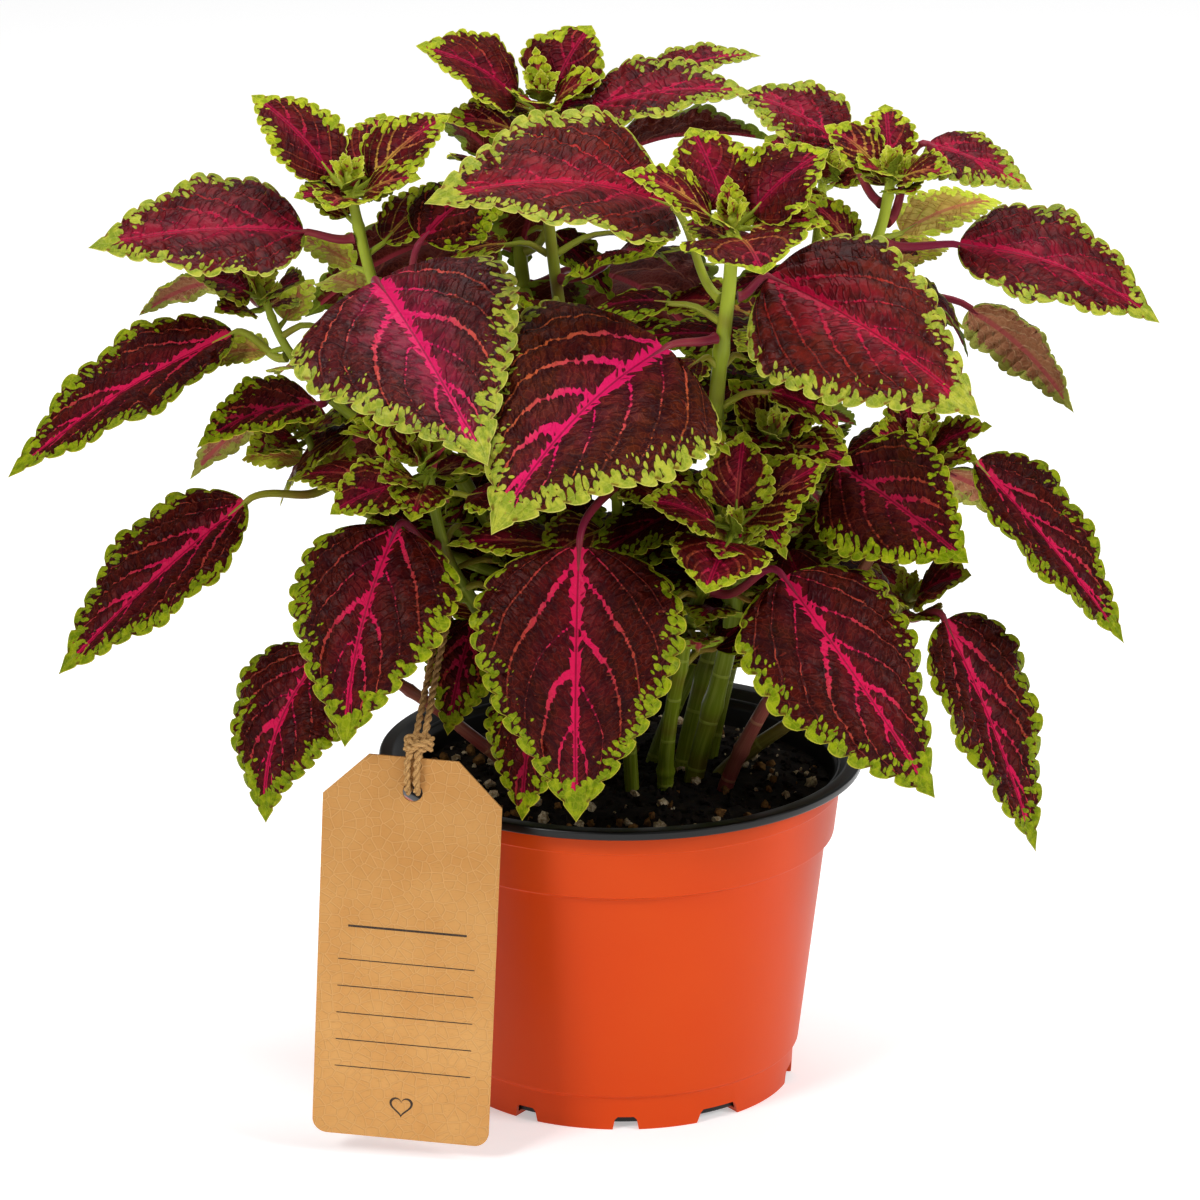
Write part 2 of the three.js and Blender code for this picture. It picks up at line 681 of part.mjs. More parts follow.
/** The hole in the soil for a shoot's stem: the stem itself, SEAT larger all round. */
function stemHole(shoot) {
  const stations = new Stem(shoot).stations(1.2 * SEAT);
  stations[0].at.z -= SEAT;
  return solid(bar(stations, STEM_SIDES));
}

/** The stem or branch of a shoot that passes nearest to a leaf's base at the height the leaf is carried. */
function carrier(shoot, height, base) {
  const runs = [shoot, ...(shoot.branches ?? [])].filter(({ path }) => {
    return path[0][2] <= height && path[path.length - 1][2] >= height;
  });
  const spots = runs.map((run) => {
    const stem = new Stem(run);
    const share = stem.shareAt(height);
    const axis = stem.curve.getPoint(share);
    return { axis, tangent: stem.curve.getTangent(share), radius: stem.radiusAt(share) };
  });
  return spots.sort((a, b) => a.axis.distanceTo(base) - b.axis.distanceTo(base))[0];
}

/** A large leaf, its petiole's foot against the stem that carries it. */
function largeLeaf(shoot, leaf) {
  const blade = new Blade(leaf);
  const { axis, tangent, radius } = carrier(shoot, leaf.at, blade.base);
  const away = blade.base.clone().sub(axis);
  away.addScaledVector(tangent, -away.dot(tangent)).normalize();
  const root = axis.clone().addScaledVector(away, radius + PETIOLE_SEAT);
  return leafOnPetiole(blade, root, away);
}

// ---- Back of the plant ----
/** A height of the front's growth, lowered for the back. */
const backHeight = (z) => 100 + (z - 100) * BACK_RISE;

/** A direction of the front's growth, turned to the back. */
function turnBack([x, y, z]) {
  const angle = radians(BACK_TURN);
  const [c, s] = [Math.cos(angle) * BACK_SPREAD, Math.sin(angle) * BACK_SPREAD];
  return [c * x - s * y, s * x + c * y, z * BACK_RISE];
}

/** A point of the front's growth, carried to the back. */
const toBack = ([x, y, z]) => [...turnBack([x, y, 0]).slice(0, 2), backHeight(z)];

function backShoot({ path, radii, crown }) {
  return {
    path: path.map(toBack),
    radii,
    crown: crown.slice(0, BACK_CROWN).map((row) => [...turnBack(row.slice(0, 3)), row[3] * BACK_SPREAD]),
    side: [],
    face: turnBack(SMALL_FACE),
  };
}

function backLeaf({ on, at, base, tip, width, face, ...rest }) {
  return {
    ...rest,
    on: `back_${on}`,
    at: backHeight(at),
    base: toBack(base),
    tip: toBack(tip),
    width: width * BACK_SPREAD,
    face: turnBack(face),
  };
}

// ---- Tag and twine ----
/** The care tag, its top edge's middle at the origin. */
function tagCard() {
  const half = TAG_WIDTH / 2;
  const low = -TAG_HEIGHT;
  const outline = new THREE.Shape();
  outline.moveTo(half - TAG_CHAMFER, 0);
  outline.lineTo(-half + TAG_CHAMFER, 0);
  outline.lineTo(-half, -TAG_CHAMFER);
  outline.lineTo(-half, low + TAG_CORNER);
  outline.absarc(-half + TAG_CORNER, low + TAG_CORNER, TAG_CORNER, Math.PI, 1.5 * Math.PI);
  outline.absarc(half - TAG_CORNER, low + TAG_CORNER, TAG_CORNER, 1.5 * Math.PI, 2 * Math.PI);
  outline.lineTo(half, -TAG_CHAMFER);
  const hole = new THREE.Path();
  hole.absarc(0, -TAG_HOLE_DROP, TAG_HOLE, 0, 2 * Math.PI, true);
  outline.holes.push(hole);
  const depth = TAG_THICKNESS;
  const card = new THREE.ExtrudeGeometry(outline, { depth, bevelEnabled: false, curveSegments: 8 });
  return solid(card.rotateX(Math.PI / 2).translate(0, depth / 2, 0));
}

/** A strand of twine through points. */
function strand(points, steps) {
  const section = new THREE.Shape();
  section.absarc(0, 0, TWINE, 0, 2 * Math.PI);
  const route = new THREE.CatmullRomCurve3(points, false, "centripetal");
  return solid(
    new THREE.ExtrudeGeometry(section, { steps, extrudePath: route, curveSegments: 4, bevelEnabled: false }),
  );
}

/** The twine: a loop over the twig that carries the tag, a knot, and two strands through the tag's hole. */
function twine(twig, tag) {
  const onTag = (x, y, z) => new THREE.Vector3(x, y, z).applyMatrix4(tag.matrix);
  const stem = new Stem(twig);
  const held = stem.curve.getPoint(0.5);
  const knot = onTag(...KNOT_AT);
  const down = knot.clone().sub(held).normalize();
  const aside = new THREE.Vector3().crossVectors(stem.curve.getTangent(0.5), down).normalize();
  const reach = stem.radiusAt(0.5) * NODE_SWELL + TWINE + SEAT;
  const length = knot.distanceTo(held);
  const fromTwig = (drop, across) => held.clone().addScaledVector(down, drop).addScaledVector(aside, across);
  const loop = [
    fromTwig(length, LEGS_APART / 2),
    fromTwig(length / 2, LEGS_APART / 2),
    fromTwig(0, reach),
    fromTwig(-reach, 0),
    fromTwig(0, -reach),
    fromTwig(length / 2, -LEGS_APART / 2),
    fromTwig(length, -LEGS_APART / 2),
  ];
  const off = TAG_THICKNESS / 2 + TWINE + SEAT; // a strand's distance from the middle of the card
  const turns = [-STRANDS_APART, STRANDS_APART].map((x) => {
    const turn = [
      onTag(KNOT_AT[0] + x / 2, -LEGS_APART / 2, KNOT_AT[2]),
      onTag(x, -off, 0.8),
      onTag(x, -off, 2.6 - TAG_HOLE_DROP),
      onTag(x, 0, -TAG_HOLE_DROP),
      onTag(x, off, 2.6 - TAG_HOLE_DROP),
      onTag(x, off, 0.8),
      onTag(KNOT_AT[0] + x / 2, LEGS_APART / 2, KNOT_AT[2]),
    ];
    return strand(turn, TURN_OF_TWINE_STEPS);
  });
  const lump = new THREE.SphereGeometry(1, 10, 6).scale(...KNOT).applyMatrix4(tag.matrix);
  lump.translate(...knot.clone().sub(V(TAG_AT)));
  return join([strand(loop, LOOP_STEPS), solid(lump), ...turns]);
}

// ---- The part ----
const group = new THREE.Group();

function place(name, body, material) {
  const mesh = new THREE.Mesh(geometryOf(body), material);
  mesh.name = name;
  group.add(mesh);
  return mesh;
}

const shoots = { ...SHOOTS };
for (const name of BACK_SHOOTS) shoots[`back_${name}`] = backShoot(SHOOTS[name]);
const leaves = { ...LEAVES };
for (const name of BACK_LEAVES) leaves[`back_${name}`] = backLeaf(LEAVES[name]);

place("pot_shell", potShell(), TERRACOTTA);
place("pot_liner", potLiner(), BLACK_PLASTIC);
place("soil", soil(Object.values(shoots).map((shoot) => stemHole(planted(shoot)))), POTTING_MIX);
for (const [name, shoot] of Object.entries(shoots)) {
  place(`shoot_${name}`, growth(planted(shoot)), SHOOT_GREEN);
}
for (const [name, leaf] of Object.entries(leaves)) {
  place(`leaf_${name}`, largeLeaf(planted(shoots[leaf.on]), leaf), LEAF_MAROON);
}

const tag = place("tag", tagCard(), KRAFT);
tag.position.set(...TAG_AT);
tag.rotation.set(0, radians(TAG_ROLL), radians(-TAG_YAW), "ZYX");
tag.updateMatrix();
place("twine", twine(SHOOTS.front_left.branches[0], tag), JUTE);

export default group;
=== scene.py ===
"""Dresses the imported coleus: its leaves, stems, soil, pots, tag and twine, each where its solid stands."""

import logging
import math
from dataclasses import dataclass, replace
from enum import Enum, IntEnum
from functools import partialmethod
from typing import Callable, Sequence

import bmesh
import bpy
import numpy as np
from mathutils import Matrix, Vector


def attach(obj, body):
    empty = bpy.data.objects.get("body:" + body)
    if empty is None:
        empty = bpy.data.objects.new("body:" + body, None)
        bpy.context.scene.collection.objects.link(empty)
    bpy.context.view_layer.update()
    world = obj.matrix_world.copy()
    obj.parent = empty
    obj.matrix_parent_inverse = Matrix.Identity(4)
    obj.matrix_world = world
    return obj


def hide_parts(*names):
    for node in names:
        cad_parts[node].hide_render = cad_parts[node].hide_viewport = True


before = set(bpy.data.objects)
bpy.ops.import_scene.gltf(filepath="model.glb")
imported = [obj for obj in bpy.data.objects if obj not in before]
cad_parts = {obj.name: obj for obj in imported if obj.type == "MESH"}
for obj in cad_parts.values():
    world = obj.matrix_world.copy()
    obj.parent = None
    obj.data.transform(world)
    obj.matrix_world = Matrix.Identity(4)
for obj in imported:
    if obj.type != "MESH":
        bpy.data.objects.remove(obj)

LOG = logging.getLogger("coleus")
Array = np.ndarray
Triple = tuple[float, float, float]
Pair = tuple[float, float]
Pairs = tuple[Pair, ...]
Rows = tuple[tuple[float, ...], ...]
Material = bpy.types.Material
Piece = bpy.types.Object
Finishes = dict[object, Material]
Slot = int | Callable[[int], int]
Inputs = dict[int | str, object]

MM = 0.001  # every size below is in millimetres, and meshes are made in metres
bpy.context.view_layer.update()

STEM_DEPTH = 24.0  # how deep a stem stands in the soil
NODE_SWELL = 1.12  # a stem's thickness at a node, over its own
PETIOLE_SEAT = 0.45  # from a stem's skin to the middle of a petiole's foot
PETIOLE_SWEEP = 0.35  # how far a petiole runs straight out of the stem and into the blade
PETIOLE = 1.65  # its radius at the stem
PETIOLE_THINS = 0.3  # the share of that lost on the way to the blade
BLADE_FOOT = 0.44  # how a blade's outline opens from its foot
BLADE_TAPER = 1.1  # and how it closes towards the tip
LEAF_FIELDS = ("leaf_place", "leaf_span", "leaf_rim", "stem_place")  # what the materials read at each point
LEAF_SHARP = 60.0  # degrees: the angle from which an edge on the plant is hard
POT_SHARP = 35.0  # and on a pot
POT_STEPS = 144  # points round a pot
WHITE = (1.0, 1.0, 1.0, 1.0)
SMALL_RUN = (0.0, 0.06, 0.14)  # how far a small leaf's petiole runs on under its midrib
SMALL_FACE = (0.0, -0.45, 0.9)  # the way the small leaves look
BACK_TURN = 184.0  # degrees: the back is the front's growth turned half round
BACK_SPREAD = 0.9  # the back's reach over the front's
BACK_RISE = 0.93  # and its height
BACK_CROWN = 4  # how many of a shoot's crown leaves it keeps
SOIL_LEVEL = 100.0  # where the stems' paths start
STEM_SLIM = 0.88  # a stem's drawn thickness, over its solid's
CROWN_SPREAD = 1.08  # a crown leaf's drawn width, over its plain one

RIB_LEAN = 0.33  # how far towards the tip a side vein runs on its way to the edge, as a share of the length
RIB_CURVE = 0.35  # and how much more of that comes near the edge
RIB_PAIRS = 5.2  # pitches of side veins along a blade
RIB_START = 0.85  # the place of the first, in pitches before the blade's foot
RIB_OFFSET = 0.12  # how far the two halves' veins stand apart, in pitches


class Skin(IntEnum):
    """The material numbers in a piece of the plant."""

    UPPER = 0
    UNDER = 1
    STALK = 2
    OTHER = 3  # the upper side of a shoot's buds, or of the thicket's brighter leaves
    # Leaves painted pale lime, with the glow of light shining through them from behind: their upper and under
    # sides.
    LIME = 4
    LIME_UNDER = 5


# ---- Small maths ----
def unit(vector: Array) -> Array:
    """The vector, or each row of vectors, at length one."""
    return vector / np.linalg.norm(vector, axis=-1, keepdims=True)


def vec(point: Sequence[float]) -> Array:
    """A point as an array."""
    return np.array(point, float)


UP = vec((0, 0, 1))


def size_of(vector: Array) -> float:
    """A vector's length."""
    return float(np.linalg.norm(vector))


def around(angle: float, radius: float = 1.0, height: float = 0.0) -> Array:
    """The point at an angle, a distance from the Z axis and a height."""
    return vec((radius * math.cos(angle), radius * math.sin(angle), height))


def circle(count: int) -> Array:
    """Angles spread evenly round a circle."""
    return 2 * math.pi * np.arange(count) / count


def stacked(*parts: Array | float) -> Array:
    """Arrays side by side along a new last axis, each stretched to the shape of all."""
    return np.stack(np.broadcast_arrays(*parts), axis=-1)


def wrapped(over: Array, under: Array) -> Array:
    """Rows of values that run over a blade and back under it."""
    return np.concatenate([over, under[:, ::-1]], axis=1)[:, ::-1]


def run_along(line: Array) -> Array:
    """How far along a line each of its points is."""
    return np.concatenate([[0], np.cumsum(np.linalg.norm(np.diff(line, axis=0), axis=1))])


def smooth(value: Array, low: float, high: float) -> Array:
    """A soft step from 0 at low to 1 at high."""
    share = np.clip((value - low) / (high - low), 0.0, 1.0)
    return share * share * (3 - 2 * share)


def lumps(points: Array, size: float, seed: int) -> Array:
    """A soft bumpy field from -1 to 1.

    Args:
        points: positions in millimetres, one to a row.
        size: the rough distance from one bump to the next.
        seed: which field.

    Returns:
        One value for each point.
    """
    rng = np.random.default_rng(seed)
    total = np.zeros(len(points))
    for _ in range(7):
        way = unit(rng.normal(size=points.shape[1])) * 2 * math.pi / size * rng.uniform(0.7, 1.5)
        total += np.sin(points @ way + rng.uniform(0, 2 * math.pi))
    return total / 4


class Line:
    """A centripetal Catmull-Rom line through points, with its length shared evenly among its spans."""

    def __init__(self, points: Sequence[Sequence[float]]) -> None:
        """Takes the points that the line runs through."""
        self.points = np.array(points, float)

    def at(self, share: float) -> Array:
        """The point at a share of the spans.

        Args:
            share: from 0 at the first point to 1 at the last.

        Returns:
            The point.
        """
        p = self.points
        last = len(p) - 1
        spot = min(max(share, 0.0), 1.0) * last
        i = min(int(spot), last - 1)
        t = spot - i
        before = p[i - 1] if i > 0 else 2 * p[0] - p[1]
        after = p[i + 2] if i + 2 <= last else 2 * p[last] - p[last - 1]
        a, b = p[i], p[i + 1]
        gaps = [float(((y - x) ** 2).sum()) ** 0.25 for x, y in ((before, a), (a, b), (b, after))]
        d0, d1, d2 = gaps
        start = d1 * ((a - before) / d0 - (b - before) / (d0 + d1) + (b - a) / d1)
        end = d1 * ((b - a) / d1 - (after - a) / (d1 + d2) + (after - b) / d2)
        return a + start * t + (3 * (b - a) - 2 * start - end) * t**2 + (2 * (a - b) + start + end) * t**3

    def tangent(self, share: float) -> Array:
        """The direction of the line at a share of its spans."""
        return unit(self.at(min(share + 1e-4, 1.0)) - self.at(max(share - 1e-4, 0.0)))

    def along(self, count: int) -> Array:
        """Count points spaced evenly in share."""
        return np.array([self.at(i / (count - 1)) for i in range(count)])


def frames(points: Array, start: Array) -> tuple[Array, Array]:
    """Two directions square to a line at each of its points, turning as little as they can.

    Args:
        points: the line's points.
        start: roughly the first direction at the first point.

    Returns:
        The first and second directions, one row to a point.
    """
    ways = unit(np.gradient(points, axis=0))
    across = start
    first = np.zeros_like(points)
    for i, way in enumerate(ways):
        across = unit(across - way * (across @ way))
        first[i] = across
    return first, np.cross(ways, first)


# ---- Meshes ----
def link(name: str, data: bpy.types.ID) -> Piece:
    """Makes an object of some data and puts it in the scene."""
    made = bpy.data.objects.new(name, data)
    bpy.context.scene.collection.objects.link(made)
    return made


class Builder:
    """Gathers rings of points in millimetres into one closed mesh per body, all in one object."""

    def __init__(self, *fields: str) -> None:
        """Takes the names of the vector fields that the materials read at each point."""
        self.fields = fields
        self.points: list[Array] = []
        self.values: dict[str, list[Array]] = {name: [] for name in fields}
        self.faces: list[list[int]] = []
        self.slots: list[int] = []
        self.count = 0

    def rings(self, points: Array, slot: Slot = 0, closed: bool = False, **values: Array) -> None:
        """Adds a body made of loops of points, with its ends capped.

        Args:
            points: rings by points by 3; each ring is a loop, counterclockwise seen from the far end.
            slot: the material number, or a rule that gives it for a place round the ring.
            closed: whether the last ring joins the first, and nothing is capped.
            values: the fields' values, rings by points by 3.
        """
        count, sides, _ = points.shape
        start = self.count
        numbers = start + np.arange(count * sides).reshape(count, sides)
        after = np.roll(numbers, -1, axis=1)
        above, above_after = np.roll(numbers, -1, axis=0), np.roll(after, -1, axis=0)
        rows = count if closed else count - 1
        quads = np.stack([numbers, after, above_after, above], axis=2)[:rows]
        self.faces += quads.reshape(-1, 4).tolist()
        round_slots = [slot(k) if callable(slot) else slot for k in range(sides)]
        self.slots += round_slots * rows
        if not closed:
            self.faces += [numbers[0][::-1].tolist(), numbers[-1].tolist()]
            self.slots += [round_slots[0]] * 2
        self.points.append(points.reshape(-1, 3))
        for name in self.fields:
            self.values[name].append(values.get(name, np.zeros(points.shape)).reshape(-1, 3))
        self.count += count * sides

    def tube(
        self, line: Array, radii: Array, sides: int, start: Array, seed: float, slot: int = Skin.STALK,
        square: float = 0.0, field: str = "stem_place",
    ) -> None:
        """Adds a capped bar along a line.

        Args:
            line: the line's points.
            radii: the radius at each.
            sides: points round each section.
            start: roughly the direction of each section's first point.
            seed: a number of the bar's own.
            slot: the material number.
            square: 0 for a round section, towards 1 for a squarer one.
            field: the field that gets (millimetres along, turns round, seed).
        """
        first, second = frames(line, start)
        angle = circle(sides)
        shape = 1 - square * 0.16 * np.cos(4 * angle)
        wide = first[:, None] * (np.cos(angle) * shape)[None, :, None]
        deep = second[:, None] * (np.sin(angle) * shape)[None, :, None]
        points = line[:, None] + (wide + deep) * radii[:, None, None]
        self.rings(points, slot, **{field: stacked(run_along(line)[:, None], angle / (2 * math.pi), seed)})

    def lathe(self, profile: Array, steps: int) -> None:
        """Adds a body of revolution about Z from a closed [radius, height] profile, counterclockwise."""
        angle = circle(steps)[:, None]
        radius, height = profile.T
        loop = stacked(np.cos(angle) * radius, np.sin(angle) * radius, height)
        self.rings(loop[:, ::-1], closed=True)

    def make(self, name: str, materials: Sequence[Material], sharp: float = 40, weld: bool = False) -> Piece:
        """Makes the object.

        Args:
            name: the piece's name.
            materials: its finishes, by slot number.
            sharp: the angle in degrees from which an edge is hard.
            weld: whether points in one place become one, as where a lathe meets its axis.

        Returns:
            The object, in metres.
        """
        mesh = bpy.data.meshes.new(name)
        mesh.from_pydata((np.concatenate(self.points) * MM).tolist(), [], self.faces)
        for material in materials:
            mesh.materials.append(material)
        mesh.polygons.foreach_set("material_index", self.slots)
        mesh.polygons.foreach_set("use_smooth", [True] * len(self.faces))
        for field in self.fields:
            attribute = mesh.attributes.new(field, "FLOAT_VECTOR", "POINT")
            attribute.data.foreach_set("vector", np.concatenate(self.values[field]).ravel())
        if weld:
            form = bmesh.new()
            form.from_mesh(mesh)
            bmesh.ops.remove_doubles(form, verts=form.verts, dist=1e-7)
            bmesh.ops.recalc_face_normals(form, faces=form.faces)
            form.to_mesh(mesh)
            form.free()
        mesh.validate()
        mesh.set_sharp_from_angle(angle=math.radians(sharp))
        return link(name, mesh)


def dress(piece: Piece, nodes: Sequence[str] = ()) -> Piece:
    """Puts a piece on the part.

    Args:
        piece: the finished object.
        nodes: the solids that it stands for.

    Returns:
        The piece.
    """
    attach(piece, "root")
    if nodes:
        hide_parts(*nodes)
    LOG.info("%s: %d faces", piece.name, len(piece.data.polygons))
    return piece


# ---- Finishes ----
def srgb(code: str) -> tuple[float, float, float, float]:
    """A colour written as six hex digits, as linear values."""
    parts = [int(code[i : i + 2], 16) / 255 for i in (0, 2, 4)]
    red, green, blue = (c / 12.92 if c <= 0.04045 else ((c + 0.055) / 1.055) ** 2.4 for c in parts)
    return red, green, blue, 1.0


@dataclass(frozen=True)
class Value:
    """What a socket gives. Operators add the nodes that reckon with it: | is the larger, & the smaller."""

    net: "Net"
    socket: bpy.types.NodeSocket

    def reckon(self, kind: str, *others: object) -> "Value":
        """One step of arithmetic, with this value first."""
        return self.net.math(kind, self, *others)

    def __rsub__(self, other: float) -> "Value":
        """A number less this value."""
        return self.net.math("SUBTRACT", other, self)

    __add__ = partialmethod(reckon, "ADD")
    __sub__ = partialmethod(reckon, "SUBTRACT")
    __mul__ = partialmethod(reckon, "MULTIPLY")
    __truediv__ = partialmethod(reckon, "DIVIDE")
    __pow__ = partialmethod(reckon, "POWER")
    __or__ = partialmethod(reckon, "MAXIMUM")
    __and__ = partialmethod(reckon, "MINIMUM")
    __abs__ = partialmethod(reckon, "ABSOLUTE")
    __round__ = partialmethod(reckon, "ROUND")
    sign = partialmethod(reckon, "SIGN")
    fraction = partialmethod(reckon, "FRACT")
    scaled = partialmethod(reckon, "MULTIPLY_ADD")  # times the first, plus the second


class Net:
    """A material's nodes, built in few words."""

    def __init__(self, name: str) -> None:
        """Starts an empty material with one shader."""
        self.material = bpy.data.materials.new(name)
        self.material.use_nodes = True
        self.tree = self.material.node_tree
        self.tree.nodes.clear()
        self.shader = self.tree.nodes.new("ShaderNodeBsdfPrincipled")
        output = self.tree.nodes.new("ShaderNodeOutputMaterial")
        self.tree.links.new(self.shader.outputs[0], output.inputs[0])

    def feed(self, node: bpy.types.Node, inputs: Inputs) -> None:
        """Links a node's sockets to values, or sets them; a string is a colour, None changes nothing."""
        for key, value in inputs.items():
            if isinstance(value, Value):
                self.tree.links.new(value.socket, node.inputs[key])
            elif value is not None:
                node.inputs[key].default_value = srgb(value) if isinstance(value, str) else value

    def node(self, kind: str, inputs: Inputs, output: int | str = 0, **settings: str) -> Value:
        """Adds a node.

        Args:
            kind: its type, without the word that all of them start with.
            inputs: what its sockets get, by name or number.
            output: the socket that it is used for.
            settings: its properties.

        Returns:
            What it gives.
        """
        node = self.tree.nodes.new(f"ShaderNode{kind}")
        for name, setting in settings.items():
            setattr(node, name, setting)
        self.feed(node, inputs)
        return Value(self, node.outputs[output])

    def place(self) -> Value:
        """The object's own coordinates, in metres."""
        return self.node("TexCoord", {}, "Object")

    def split(self, vector: Value) -> list[Value]:
        """A vector's three parts."""
        parts = self.node("SeparateXYZ", {0: vector})
        return [Value(self, socket) for socket in parts.socket.node.outputs]

    def field(self, name: str) -> list[Value]:
        """The three parts of a vector field of the mesh."""
        return self.split(self.node("Attribute", {}, "Vector", attribute_name=name))

    def vector(self, x: object, y: object, z: object = 0.0) -> Value:
        """A vector from its parts."""
        return self.node("CombineXYZ", {0: x, 1: y, 2: z})

    def math(self, kind: str, *parts: object) -> Value:
        """One step of arithmetic."""
        return self.node("Math", dict(enumerate(parts)), operation=kind)

    def step(self, value: object, low: object, high: object, top: float = 1.0) -> Value:
        """A soft step from 0 at low to top at high."""
        inputs = {"Value": value, "From Min": low, "From Max": high, "To Max": top}
        return self.node("MapRange", inputs, interpolation_type="SMOOTHSTEP")

    def mix(self, factor: object, a: object, b: object) -> Value:
        """A colour between two."""
        return self.node("Mix", {0: factor, 6: a, 7: b}, 2, data_type="RGBA")

    def lay(self, ground: object, *layers: tuple) -> Value:
        """A colour under others, each laid along a soft step: (colour, value, low, high) and the top."""
        for colour, *where in layers:
            ground = self.mix(self.step(*where), ground, colour)
        return ground

    def noise(self, vector: Value, scale: float, detail: float, rough: float = 0.5) -> Value:
        """A cloudy value round one half."""
        return self.node("TexNoise", {"Vector": vector, "Scale": scale, "Detail": detail, "Roughness": rough})

    def cells(self, vector: Value, scale: float, edges: bool = True, flat: bool = False) -> Value:
        """The distance to the nearest cell's edge, or to its middle; flat cells read x and y alone."""
        feature, size = "DISTANCE_TO_EDGE" if edges else "F1", "2D" if flat else "3D"
        inputs = {"Vector": vector, "Scale": scale}
        return self.node("TexVoronoi", inputs, "Distance", feature=feature, voronoi_dimensions=size)

    def bump(self, height: Value, strength: float, depth: float) -> Value:
        """A surface normal from a height; depth in millimetres."""
        return self.node("Bump", {"Strength": strength, "Distance": depth * MM, "Height": height})

    def finish(
        self, colour: object, roughness: object, normal: Value | None = None, gloss: float | None = None,
        **more: object,
    ) -> Material:
        """Feeds the shader.

        Args:
            colour: the base colour.
            roughness: a number or a value.
            normal: the bumped normal.
            gloss: the specular level.
            more: plain values of other shader sockets, by name with _ for a space.

        Returns:
            The material.
        """
        named = {"Base Color": colour, "Roughness": roughness, "Normal": normal, "Specular IOR Level": gloss}
        self.feed(self.shader, named | {name.replace("_", " "): value for name, value in more.items()})
        return self.material


